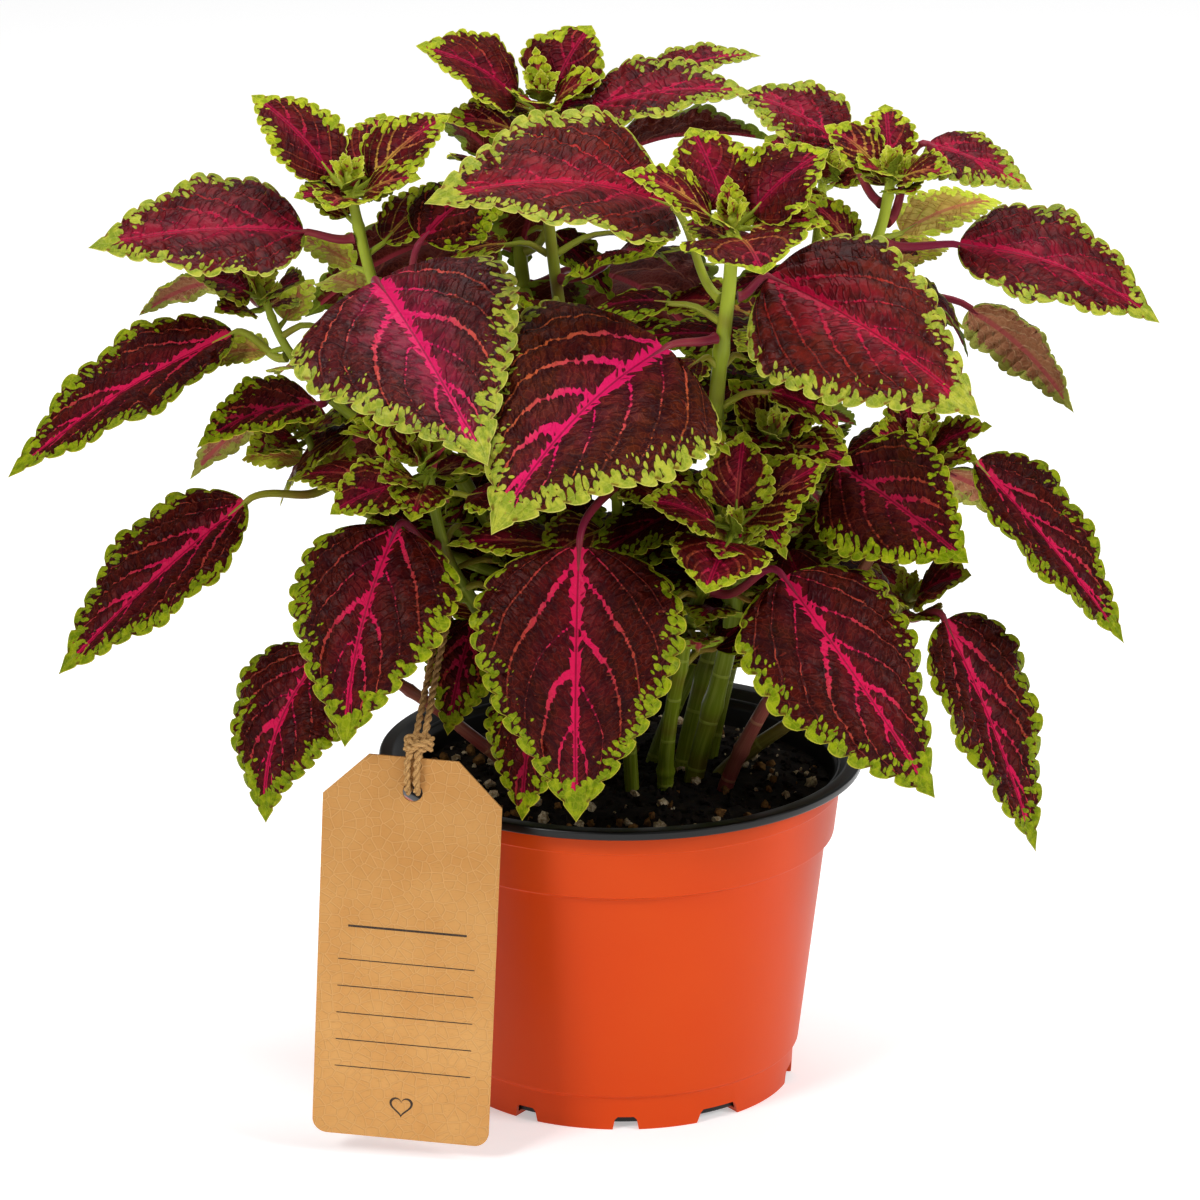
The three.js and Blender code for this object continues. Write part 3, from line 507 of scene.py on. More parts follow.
@dataclass(frozen=True)
class LeafFinish:
    """The upper side of a leaf: its dark field, its coloured veins and its green margin."""

    field: str = "300503"  # the field between the veins
    field_warm: str = "280d02"  # its browner patches
    field_highlight_and_seam: str = "4c120a"  # painted highlight on the quilted ridges and the fine wrinkles; also the seam in each notch of the margin
    rib: str = "c41448"  # along the midrib
    rib_outer: str = "a03c2c"  # along the side veins' ends
    margin: str = "86920e"
    margin_inner: str = "647606"
    margin_edge: str = "b8ac38"
    rib_width: float = 2.7  # half the midrib's coloured band at the leaf's foot
    side_width: float = 1.8  # and half a side vein's
    margin_width: float = 4.2
    shade_and_blotch: str = "24040a"  # painted shade along the sunken veins, the creases and the midrib; also the field's darker blotches
    warm: float = 0.7  # how much of the field is brown
    glow: float = 0.07  # how far the midrib's colour washes into the field
    gloss: float = 0.06
    golden: float = 0.0  # how yellow the ribs are at the foot of some of the leaves

    def material(self, name: str) -> Material:
        """The material, which reads the fields leaf_place, leaf_span and leaf_rim."""
        net = Net(name)
        u, phase, seed = net.field("leaf_place")
        along, across, edge = net.field("leaf_span")
        tooth, share, _ = net.field("leaf_rim")
        spot = net.vector(along, across, seed * 9.0)
        out = abs(across)
        # A side vein leaves the midrib at an angle and curves tipwards; each has a strength of its own.
        sway = net.noise(spot, 0.05, 1).scaled(0.5, -0.25)
        phase = phase + sway
        rung = round(phase)
        off = abs(phase - rung)
        length = along / (u | 0.001)
        slant = share.scaled(-0.35 / RIB_PAIRS, 0.75 / RIB_PAIRS)
        side = off * (length * slant)
        half_of = across.sign() * 2.3
        own = net.noise(net.vector(rung * 3.7, half_of, seed), 1.0, 0)
        strength = net.step(own, 0.36, 0.6)
        # The colour runs out of both bands as thorns, along fine veins from one side vein to the next.
        mesh = net.cells(spot, 0.5)
        run = along + out
        skew = along - out
        rungs = net.cells(net.vector(run * 0.27, skew * 0.12, seed), 1.0)
        thorn = (rungs & 0.4) * 7.0
        faint = (net.noise(spot, 0.13, 2) - 0.5) * 2.4
        room = (1.0 - share | 0.0) ** 1.2
        room = room * strength.scaled(0.75, 0.25)
        side_band = room * self.side_width + faint * 0.4
        sides = net.step(thorn.scaled(0.7, side) - side_band, 0.3, -0.1)
        thread = net.step(side, 0.5, 0.2) * strength.scaled(0.4, 0.08)
        sides = (sides | thread) * net.step(share, 0.95, 0.65)
        size = length * (self.rib_width / 95)
        mid_band = (1.0 - u).scaled(size, 0.5)
        mid_band = faint.scaled(0.8, mid_band)
        middle = net.step(out + thorn - mid_band, 0.3, -0.1)
        middle = middle | net.step(out, 0.9, 0.4, 0.9)
        ribs = sides | middle
        # Field: burgundy with browner patches and darker blotches, wrinkled along the same fine veins;
        # painted highlights on the quilted ridges and wrinkles, painted shade in the sunken veins and
        # creases.
        cloud = net.noise(spot, 0.09, 3)
        ladder = net.noise(net.vector(run * 0.3, skew * 0.11, seed), 1.0, 1)
        crease = net.step(abs(ladder - 0.5), 0.0, 0.09)
        near = net.noise(spot, 0.12, 2).scaled(0.9, share)
        blotch = net.noise(net.vector(run * 0.16, skew * 0.07, seed), 1.0, 3)
        field = net.lay(
            self.field, (self.field_warm, cloud, 0.35 + 0.25 * (1 - self.warm), 0.75),
            (self.field_highlight_and_seam, off, 0.1, 0.45, 0.45), (self.field_highlight_and_seam, ladder, 0.5, 0.7, 0.3),
            (self.rib_outer, mesh, 0.08, 0.0, 0.14), (self.shade_and_blotch, off, 0.1, 0.0, 0.8),
            (self.rib, near, 0.95, 0.45, self.glow), (self.shade_and_blotch, crease, 0.6, 0.0, 0.45),
            (self.shade_and_blotch, blotch, 0.48, 0.64, 0.6),
        )
        rib_colour = net.lay(self.rib, (self.rib_outer, share, 0.12, 0.6))
        if self.golden:
            some = net.step(net.noise(net.vector(seed, 0.5, 0.5), 1.0, 0), 0.44, 0.56, self.golden)
            rib_colour = net.mix(some * net.step(u, 0.75, 0.2), rib_colour, "c0983a")
        colour = net.mix(ribs, field, rib_colour)
        # Painted shade along the sunken middle of the midrib.
        colour = net.lay(colour, (self.shade_and_blotch, out, 0.45, 0.15, 0.55))
        # Margin: green scallops with a dark seam in each notch, islands that shrink inwards, a green tip.
        patch = net.noise(spot, 0.11, 2) - 0.5
        wide = net.step(u, 0.05, 0.45).scaled(0.58 * self.margin_width, 0.42 * self.margin_width)
        inwards = patch.scaled(14.0, edge)
        end = net.step(patch.scaled(0.3, u), 0.84, 0.95)
        inwards = end.scaled(-10.0, inwards)
        inwards = inwards / wide
        blot_at = net.vector(run * 0.2, skew * 0.4, half_of + seed)
        size = end.scaled(0.5, 0.66 - net.step(inwards, 0.3, 3.5, 0.74))
        islands = net.step(net.cells(blot_at, 1.0, False) - size, 0.04, -0.04)
        turn = edge.scaled(0.09, tooth).fraction()
        gap = turn & 1.0 - turn
        coin = net.step(gap, 0.0, 0.45).scaled(0.42, 0.22)
        rim = edge - wide * patch.scaled(0.4, coin)
        rim = net.step(rim, 0.25, -0.15)
        green = islands | (rim | net.step(edge, 0.7, 0.4))
        seam = net.step(gap, 0.1, 0.04) * net.step(edge, 2.6, 1.2)
        mottle = (self.margin, net.noise(spot, 0.35, 3), 0.4, 0.65)
        green_colour = net.lay(self.margin_inner, mottle, (self.margin_edge, mesh, 0.1, 0.0, 0.2))
        green_colour = net.mix(seam * 0.7, green_colour, self.field_highlight_and_seam)
        green_colour = net.lay(green_colour, (self.margin_edge, edge, 0.4, 0.15, 0.8))
        colour = net.mix(green, colour, green_colour)
        calm = (green | middle).scaled(-0.8, 1.0)
        height = crease.scaled(calm, net.step(mesh, 0.0, 0.35, 0.2))
        height = height + net.step(off, 0.0, 0.1, 0.6)
        normal = net.bump(height, 0.6, 0.5)
        rough = cloud.scaled(0.15, 0.33)
        return net.finish(colour, rough, normal, self.gloss)


@dataclass(frozen=True)
class UndersideFinish:
    """The under side of a leaf: dusty, with a pale net of veins."""

    field: str = "5e1c16"
    dark: str = "42120e"
    vein: str = "864430"
    rib: str = "94303a"
    margin: str = "7c8e26"

    def material(self, name: str) -> Material:
        """The material, which reads the fields leaf_place and leaf_span."""
        net = Net(name)
        _, phase, seed = net.field("leaf_place")
        along, across, edge = net.field("leaf_span")
        spot = net.vector(along, across, seed * 9.0)
        out = abs(across)
        off = abs(phase - round(phase))
        mesh = net.cells(spot, 0.6)
        patch = (net.noise(spot, 0.22, 3, 0.6) - 0.5) * 16.0
        colour = net.lay(
            self.field, (self.dark, net.noise(spot, 0.1, 3), 0.35, 0.7), (self.vein, mesh, 0.12, 0.0, 0.3),
            (self.vein, off, 0.07, 0.03, 0.7), (self.rib, out, 1.6, 0.7),
            (self.margin, edge + patch, 4.5, 3.0),
        )
        height = net.step(mesh, 0.0, 0.3, 0.3) - net.step(off, 0.0, 0.08)
        return net.finish(colour, 0.6, net.bump(height, 0.6, 0.5), 0.04)


@dataclass(frozen=True)
class StemFinish:
    """A stem's skin: green with paler lines, flushed in patches."""

    skin: str = "6a7a14"
    pale: str = "98a440"
    flush: str = "6b3a22"
    flushed: float = 0.25
    lit_skin: str = "a0ae30"  # painted light: the lighter, yellower skin high up, where the stems stand lit above the shade
    internode: float = 0.0  # from one ring scar to the next on an old stem, or 0 for none

    def material(self, name: str) -> Material:
        """The material, which reads the field stem_place."""
        net = Net(name)
        along, turn, seed = net.field("stem_place")
        lines = net.noise(net.vector(along * 0.05, turn * 26.0, seed), 1.0, 2)
        cloud = net.noise(net.vector(along, turn * 3.0, seed), 0.06, 2)
        _, _, height = net.split(net.place())
        # Painted light: the skin turns lighter and yellower with height.
        colour = net.lay(
            self.skin, (self.lit_skin, height, 0.16, 0.32), (self.pale, lines, 0.42, 0.68, 0.5),
            (self.flush, cloud, 0.75 - self.flushed, 1.0 - 0.6 * self.flushed, 0.85),
        )
        relief = lines * 0.4
        if self.internode:
            count = along / self.internode + seed * 0.37
            off = abs(count.fraction() - 0.5)
            ring = net.step(off * self.internode, 0.8, 0.35)
            ring = ring * net.step(height, 0.22, 0.16, 0.65)
            colour = net.mix(ring, colour, self.pale)
            relief = relief + ring * 2.0
        return net.finish(colour, 0.38, net.bump(relief, 0.5, 0.25), 0.15)


@dataclass(frozen=True)
class PotPlastic:
    """Moulded plastic with a faint grain and a little dust."""

    colour: str
    worn: str
    roughness: float
    grain: float = 0.12
    gloss: float = 0.16

    def material(self, name: str) -> Material:
        """The material."""
        net = Net(name)
        place = net.place()
        cloud = net.noise(place, 18.0, 4, 0.6)
        colour = net.lay(self.colour, (self.worn, cloud, 0.35, 0.75, 0.5))
        grain = net.noise(place, 900.0, 3, 0.7)
        rough = cloud.scaled(0.14, self.roughness - 0.07)
        return net.finish(colour, rough, net.bump(grain, self.grain, 0.15), self.gloss)


@dataclass(frozen=True)
class CrumbFinish:
    """Crumbs of mixed shades."""

    dark: str
    light: str
    scale: float = 260.0
    rough: float = 0.95

    def material(self, name: str) -> Material:
        """The material."""
        net = Net(name)
        place = net.place()
        colour = net.lay(self.dark, (self.light, net.noise(place, self.scale, 4, 0.7), 0.35, 0.7))
        normal = net.bump(net.noise(place, 1400.0, 4, 0.7), 0.7, 0.5)
        return net.finish(colour, self.rough, normal, 0.2)


@dataclass(frozen=True)
class KraftFinish:
    """Kraft card: tan, flecked with short fibres and pressed with a net of fine raised ridges."""

    card: str = "c68e4e"
    # The fibres' colour, also laid as painted shade round each cell and towards the card's top.
    fibre: str = "95632c"
    pale: str = "d09c5c"
    ridge: str = "dcae72"  # a painted highlight along the raised net between the cells

    def material(self, name: str) -> Material:
        """The material."""
        net = Net(name)
        place = net.place()
        x, _, z = net.split(place)
        fibres = net.noise(net.vector(x * 350.0, z * 1900.0), 1.0, 4, 0.7)
        cell = net.cells(net.vector(x, z), 290.0, flat=True)
        colour = net.lay(
            # Painted shade: the card darkens towards its top.
            self.card, (self.pale, net.noise(place, 60.0, 3), 0.2, 0.8), (self.fibre, z, 0.03, 0.14, 0.4),
            # The last two layers: painted shade in a faint band inside each cell, and a painted highlight on
            # the raised net between the cells.
            (self.fibre, fibres, 0.56, 0.74, 0.55), (self.fibre, cell, 0.18, 0.08, 0.12),
            (self.ridge, cell, 0.07, 0.02, 0.36),
        )
        height = net.step(cell, 0.14, 0.0) + fibres * 0.5
        return net.finish(colour, 0.85, net.bump(height, 0.6, 0.25), 0.25)


@dataclass(frozen=True)
class JuteFinish:
    """Jute: tan with darker and paler fibres along the yarn."""

    yarn: str = "bc9058"
    dark: str = "7c5830"
    pale: str = "e0be8a"

    def material(self, name: str) -> Material:
        """The material, which reads the field yarn_place."""
        net = Net(name)
        along, turn, seed = net.field("yarn_place")
        spot = net.vector(along * 0.9, turn * 16.0, seed)
        fibres = net.noise(spot, 1.0, 4, 0.7)
        colour = net.lay(self.dark, (self.yarn, fibres, 0.36, 0.5), (self.pale, fibres, 0.54, 0.7))
        return net.finish(colour, 0.9, net.bump(fibres, 0.9, 0.4), 0.2)


LIVELY = ("a6a834", "7e8c22", "c6c05c")  # the margin of the leaves in the best light


class Tone(Enum):
    """How a leaf is coloured: by where on the plant it grew; one finish is a darker copy painted with the
    canopy's shade, and one a pale lime copy painted with the glow of light shining through from behind.
    """

    BRIGHT = LeafFinish(
        "3a060c", "321006", "62181a", "ce1458", "bc4a3a", *LIVELY, 3.8, 2.1, 4.8, glow=0.25, gloss=0.14,
    )
    DUSKY = LeafFinish(
        "34090a", "2c1003", "581f0a", "ce1458", "b4542c", *LIVELY, 3.4, 2.1, 5.0, warm=0.9, glow=0.08,
        gloss=0.08,
    )
    RIDGED = LeafFinish(
        "460b08", "3c1005", "701c10", "b00e36", "98281c", *LIVELY, 2.6, 1.3, 4.4, shade_and_blotch="1e0304", glow=0.4,
        gloss=0.12,
    )
    DEEP = LeafFinish()
    BROWN = LeafFinish("300708", "2a1105", "46150a", "8c1030", "8a3820", warm=0.8, gloss=0.03)
    CRIMSON = LeafFinish(
        "4c070c", "3e0a06", "701418", "a80c38", "8c1a20", "a0a42c", "78881c", "c6c05c", 2.4, 1.3, 3.8,
        shade_and_blotch="200408", warm=0.3, glow=0.4, gloss=0.12,
    )
    YOUNG = LeafFinish(
        "3c050a", "340a05", "601410", "a01038", "9a4426", "a4ac1c", "7c8c12", "ccc450", 1.6, 0.8, 2.7,
        glow=0.25, golden=0.85,
    )
    BUD = LeafFinish(
        "7a5c1c", "86801e", "a0942e", "8c2434", "a08a34", "b8be30", "98a41e", "d0cc60", 0.9, 0.5, 3.0,
        shade_and_blotch="6c4216",
    )
    # A pale lime copy of a leaf's finish, painted with the glow of light shining through it from behind.
    LIME = LeafFinish(
        "b0903e", "acac40", "ccb45c", "b8604c", "c8a050", "d0da40", "b4c22e", "e0e46c", 0.9, 0.5, 3.2,
        shade_and_blotch="9c7c34",
    )
    # A darker copy of the young leaves' finish, painted with the shade deep in the canopy.
    INNER = LeafFinish(
        "280604", "240e04", "421208", "74102a", "7a341c", "84921a", "60740e", "a4a430", 1.5, 0.8, 3.4,
        gloss=0.02,
    )


# ---- What grows where ----
GREEN = StemFinish(internode=19.0)
REDDISH = StemFinish("84503e", "a67456", "7c3032", 0.5, "8c6a34", 26.0)
OLIVE = StemFinish("86842f", "a8a854", "6e5230", 0.35, "969440", 22.0)


@dataclass(frozen=True)
class Growth:
    """A stem's path from the soil to its crown, its radii at foot and top, and its small leaves.

    A crown leaf is (dx, dy, dz, width), with its tip from the crown's centre, and a side leaf is
    (height, dx, dy, dz, width).
    """

    path: tuple[Triple, ...]
    radii: Pair
    crown: Rows = ()
    side: Rows = ()
    pale: Rows = ()  # side leaves painted pale lime, with the glow of light shining through them from behind
    branches: tuple["Growth", ...] = ()
    face: Triple = SMALL_FACE
    skin: StemFinish = GREEN

    def planted(self) -> "Growth":
        """The same growth with its foot carried straight down into the soil."""
        x, y, z = self.path[0]
        return replace(self, path=((x, y, z - STEM_DEPTH), *self.path))

    def radius_at(self, share: float) -> float:
        """The stem's radius at a share of its length; every second station is a swollen node."""
        steps = 2 * len(self.path) - 2
        to_node = 1 - abs((share * steps) % 2 - 1)
        return (self.radii[0] + (self.radii[1] - self.radii[0]) * share) * (1 + (NODE_SWELL - 1) * to_node)

    def share_at(self, height: float) -> float:
        """The share of the path at which it reaches a height."""
        line, low, high = Line(self.path), 0.0, 1.0
        for _ in range(30):
            middle = (low + high) / 2
            low, high = (middle, high) if line.at(middle)[2] < height else (low, middle)
        return low


@dataclass(frozen=True)
class LeafPlan:
    """A large leaf: the shoot and height that carry it, and its blade.

    Arch is the midrib's rise over the line from base to tip and bow its sideways swing, as shares of the
    length. Face is the way the upper side looks. Fold is how far the edges stand up, or droop, as a share of
    the half width.
    """

    on: str
    at: float
    base: Triple
    tip: Triple
    width: float
    arch: float
    face: Triple
    fold: float
    tone: Tone = Tone.DEEP
    bow: float = 0.0
    green_stalk: bool = False
    # An underside painted pale, with the glow of light shining through the leaf from behind.
    pale_under: bool = False
    foot: float = BLADE_FOOT
    lean: float = 0.0
    tilt: float = 0.0


G = Growth
SHOOTS: dict[str, Growth] = {
    "left": G(
        ((-8, -8, 100), (-34, -12, 180), (-70, -16, 248), (-83, -18, 288), (-91, -18, 324)), (3.6, 1.9),
        ((-32, 16, 24, 27), (34, 12, 18, 25), (25, -10, 2, 18), (-6, -22, -6, 18), (12, 24, 16, 18)),
        side=((306, -18, 10, 16, 17), (296, 30, 16, 20, 20)),
        pale=((290, -27, 12, 9, 14), (284, -20, 30, -6, 18), (270, -16, 26, 12, 13)),
        branches=(
            G(
                ((-58, -14, 222), (-92, -12, 240), (-112, -10, 262), (-121, -8, 283)), (2.4, 1.4),
                ((-22, -6, 6, 20), (16, -12, 6, 17), (-8, 16, 12, 18)),
                pale=((262, -32, 14, -10, 17), (256, -8, 20, -9, 15), (268, 12, 14, 14, 14)),
            ),
            G(
                ((-34, -12, 180), (-72, -10, 196), (-98, -7, 214), (-108, -4, 235)), (2.4, 1.4),
                ((-18, -14, -7, 16), (14, -14, 4, 18)),
                pale=((222, -26, 12, -4, 16), (214, 4, 18, 14, 13), (230, -12, 16, 16, 12)),
            ),
        ),
    ),
    "top": G(
        ((-4, 8, 100), (-12, 16, 200), (-25, 29, 300), (-27, 30, 342)), (3.8, 1.7),
        ((-42, -8, 17, 32), (17, 14, 19, 30), (20, -12, 7, 20), (-6, -16, 0, 17), (-2, 4, 14, 9)),
        side=((324, -34, -14, 10, 24),),
    ),
    "centre_right": G(
        ((24, -4, 100), (38, -20, 176), (31, -45, 244), (35, -64, 300), (36, -72, 324)), (4.4, 2.2),
        (
            (-36, -6, 17, 20), (31, 8, 21, 31), (9, -32, -10, 40), (-14, 22, 25, 30), (30, -8, 0, 20),
            (-2, 2, 14, 9),
        ),
        branches=(
            G(
                ((38, -20, 176), (48, -32, 214), (50, -48, 246)), (2.6, 1.5),
                ((24, -2, 20, 22), (26, -12, -9, 20), (-15, 4, 16, 18), (-10, -14, -2, 16)),
            ),
        ),
    ),
    "right": G(
        ((20, 8, 100), (42, 2, 190), (72, -8, 270), (86, -13, 304), (90, -14, 326)), (4.0, 1.8),
        ((-23, 6, 13, 20), (-12, -16, 4, 17), (19, -14, 2, 19), (-2, 24, 16, 18)),
        side=((292, -22, 6, 22, 18), (280, 24, 20, 14, 24)),
        pale=((300, 44, 34, 4, 22), (290, 30, 34, -2, 20), (284, 10, 30, 6, 16), (276, 42, 22, -14, 18)),
    ),
    "front_right": G(
        ((15, -10, 100), (16, -17, 127), (25, -46, 184), (35, -72, 212), (37, -78, 221)), (3.8, 1.8),
        ((3, 8, 31, 23), (-31, -8, 12, 22), (30, 4, 21, 28), (-10, -26, -14, 32), (12, 2, 6, 13)),
    ),
    "front_left": G(
        ((-12, -16, 100), (-46, -35, 174), (-58, -45, 200), (-65, -54, 238)), (3.8, 1.8),
        ((-31, -12, -16, 26), (10, -14, 10, 16), (-4, -20, -16, 20), (-10, 14, 14, 18)),
        branches=(
            G(
                ((-49, -37.6, 182), (-58, -43, 186), (-70, -46, 194)), (1.7, 1.1),
                ((-18, 4, 8, 18), (-8, 14, 6, 16)),
            ),
        ),
    ),
    "front_centre": G(
        ((4, -14, 100), (0, -32, 170), (-2, -48, 230), (-4, -50, 262)), (3.4, 1.6),
        ((-24, -8, 10, 22), (20, -2, 10, 20), (-10, 18, 14, 18)),
        side=((212, -26, -14, -12, 26), (228, 28, -6, -4, 26)),
    ),
    "right_low": G(
        ((34, -11, 100), (52, -24, 146), (84, -30, 196), (101, -26, 236)), (3.6, 1.6),
        ((22, -12, 8, 18), (-18, -10, 6, 20), (-6, 14, 16, 18)), skin=REDDISH,
    ),
    "low_right": G(
        ((31, 6, 100), (61, -4, 130), (88, -20, 160), (97, -26, 182)), (3.4, 1.6),
        ((20, -12, 10, 24), (-16, -12, 8, 20)), skin=OLIVE,
    ),
    "low_left": G(
        ((-26, -14, 100), (-56, -24, 134), (-84, -34, 160), (-90, -36, 174)), (3.2, 1.5),
        ((16, -14, 2, 16), (-6, 18, 12, 18)), skin=REDDISH,
    ),
    "back_right": G(
        ((30, 21, 100), (52, 32, 200), (66, 39, 280), (69, 41, 312)), (3.8, 1.7),
        ((24, -8, 8, 22), (-20, 12, 8, 22), (12, 24, 6, 22), (-8, -16, 12, 20)), side=((240, 30, 12, 4, 26),),
    ),
}

L, T = LeafPlan, Tone
LEAVES: dict[str, LeafPlan] = {
    "front_centre": L(
        "front_centre", 226, (-14, -78, 214), (-15, -98, 125), 70, 0.08, (-0.1, -1, 0.2), -0.12,
    ),
    "front_left": L(
        "front_left", 206, (-74, -64, 216), (-91, -92, 149), 58, 0.1, (-0.3, -0.9, 0.4), -0.12, bow=0.02,
    ),
    "front_right": L(
        "front_right", 192, (53, -76, 203), (103, -94, 132), 62, 0.1, (0.4, -0.8, 0.5), -0.12, bow=0.04,
    ),
    "centre_great": L(
        "centre_right", 280, (14, -76, 281), (-42, -130, 234), 82, 0.1, (-0.1, -0.6, 0.75), -0.15, T.DUSKY,
        bow=0.02, foot=0.33, lean=0.1, tilt=0.13,
    ),
    "upper_left_great": L(
        "left", 276, (-80, -50, 296), (-43, -120, 254), 78, 0.1, (-0.15, -0.6, 0.75), -0.1, T.BRIGHT,
        foot=0.36,
    ),
    "right_great": L(
        "centre_right", 294, (48, -62, 301), (116, -88, 261), 64, 0.1, (0.1, -0.75, 0.65), -0.12, T.RIDGED,
    ),
    "left_far_low": L(
        "left", 214, (-126, -22, 212), (-189, -38, 156), 52, 0.03, (-0.5, -0.45, 0.7), 0.12, green_stalk=True,
        foot=0.62,
    ),
    "left_far_mid": L(
        "left", 260, (-130, -5, 266), (-206, -18, 219), 52, 0.05, (-0.5, -0.35, 0.79), 0.12, green_stalk=True,
        foot=0.6,
    ),
    "left_upper": L(
        "left", 303, (-105, -24, 306), (-176, -34, 303), 54, 0.06, (0, -0.4, 0.9), 0.06, T.CRIMSON,
        foot=0.55,
    ),
    "left_low": L(
        "low_left", 168, (-100, -44, 165), (-119, -60, 111), 46, 0.08, (-0.5, -0.8, 0.4), -0.1, bow=0.08,
    ),
    "left_mid": L(
        "left", 246, (-102, -26, 247), (-141, -40, 236), 36, 0.12, (-0.2, -0.3, 0.9), 0.15, T.BROWN,
    ),
    "left_mid_under": L(
        "left", 214, (-112, 10, 240), (-147, 16, 208), 36, 0.08, (-0.5, 0.5, 0.5), -0.1, T.BROWN,
        pale_under=True,
    ),
    "left_under": L(
        "left", 277, (-134, 8, 282), (-163, 12, 267), 30, 0.08, (-0.3, 0.5, 0.8), -0.1, T.BROWN,
        pale_under=True,
    ),
    "right_far_up": L(
        "right", 300, (112, -14, 299), (179, -22, 274), 54, 0.1, (0.3, -0.4, 0.87), 0.1, T.CRIMSON,
        foot=0.58,
    ),
    "right_far_mid": L(
        "right_low", 230, (118, -32, 229), (168, -44, 169), 50, 0.03, (0.7, -0.4, 0.6), 0.15,
        green_stalk=True, foot=0.55,
    ),
    "right_under": L(
        "right_low", 206, (110, -12, 220), (153, -8, 188), 34, 0.06, (0.45, 0.6, 0.65), -0.1, pale_under=True,
    ),
    "right_low": L("low_right", 174, (108, -42, 177), (139, -58, 100), 52, 0.03, (0.75, -0.55, 0.4), 0.12),
    "right_mid_back": L(
        "back_right", 266, (119, 26, 266), (154, 18, 231), 40, 0.08, (0.5, 0.6, 0.6), -0.1, pale_under=True,
    ),
    "right_inner": L(
        "centre_right", 236, (72, -50, 233), (114, -72, 206), 50, 0.08, (0, -0.8, 0.6), -0.1, T.BROWN,
    ),
    "right_top": L(
        "right", 306, (102, -4, 331), (136, -20, 319), 30, 0.06, (0.2, -0.45, 0.9), -0.1, T.CRIMSON,
    ),
    "top_centre_great": L(
        "centre_right", 292, (15, -50, 322), (-64, -76, 329), 66, 0.12, (0, -0.45, 0.9), 0.16, T.RIDGED,
        green_stalk=True,
    ),
    "top_right_flat": L(
        "top", 324, (-11, 20, 337), (44, 12, 344), 42, 0.08, (-0.1, -0.3, 0.95), 0.08, T.CRIMSON,
    ),
    "top_right_back": L(
        "right", 312, (73, 8, 328), (38, 22, 342), 36, 0.1, (0.1, -0.4, 0.9), 0.08, T.CRIMSON,
    ),
    "top_far": L("top", 314, (10, 58, 338), (48, 62, 345), 26, 0.08, (0, -0.2, 1), 0.08, T.CRIMSON),
    "upper_left_back": L(
        "left", 268, (-66, -26, 304), (-34, -6, 320), 36, 0.12, (-0.3, -0.5, 0.8), -0.1, T.BROWN,
    ),
    "lower_inner": L(
        "front_left", 168, (-49, -46, 178), (-58, -60, 142), 28, 0.1, (-0.2, -0.9, 0.4), -0.1, T.BROWN,
    ),
    "front_behind": L(
        "front_centre", 168, (-25, -62, 166), (-33, -80, 119), 36, 0.1, (-0.4, -0.85, 0.3), -0.1, T.BROWN,
    ),
    "inner_left": L("top", 254, (-30, 4, 272), (-50, -34, 290), 42, 0.08, (-0.1, -0.6, 0.8), -0.08, T.BROWN),
    "inner_centre": L("top", 276, (-4, 6, 288), (10, -34, 300), 44, 0.08, (0, -0.6, 0.8), -0.08, T.BROWN),
}
BACK_SHOOTS = ("centre_right", "front_right", "front_left")
BACK_LEAVES = ("front_left", "front_right", "centre_great", "right_great", "right_inner", "top_centre_great")


def turn_back(way: Sequence[float]) -> Triple:
    """A direction of the front's growth, turned to the back."""
    angle = math.radians(BACK_TURN)
    c, s = math.cos(angle) * BACK_SPREAD, math.sin(angle) * BACK_SPREAD
    x, y, z = way
    return c * x - s * y, s * x + c * y, z * BACK_RISE


def back_height(height: float) -> float:
    """A height of the front's growth, lowered for the back."""
    return SOIL_LEVEL + (height - SOIL_LEVEL) * BACK_RISE


def to_back(point: Sequence[float]) -> Triple:
    """A point of the front's growth, carried to the back."""
    x, y, _ = turn_back((point[0], point[1], 0.0))
    return x, y, back_height(point[2])


def back_shoot(front: Growth) -> Growth:
    """A front shoot as it stands at the back, with its first crown leaves only."""
    crown = tuple((*turn_back(row[:3]), row[3] * BACK_SPREAD) for row in front.crown[:BACK_CROWN])
    return Growth(tuple(map(to_back, front.path)), front.radii, crown, face=turn_back(SMALL_FACE))


def back_leaf(front: LeafPlan) -> LeafPlan:
    """A front leaf as it hangs at the back."""
    return replace(
        front,
        on=f"back_{front.on}",
        at=back_height(front.at),
        base=to_back(front.base),
        tip=to_back(front.tip),
        width=front.width * BACK_SPREAD,
        face=turn_back(front.face),
    )


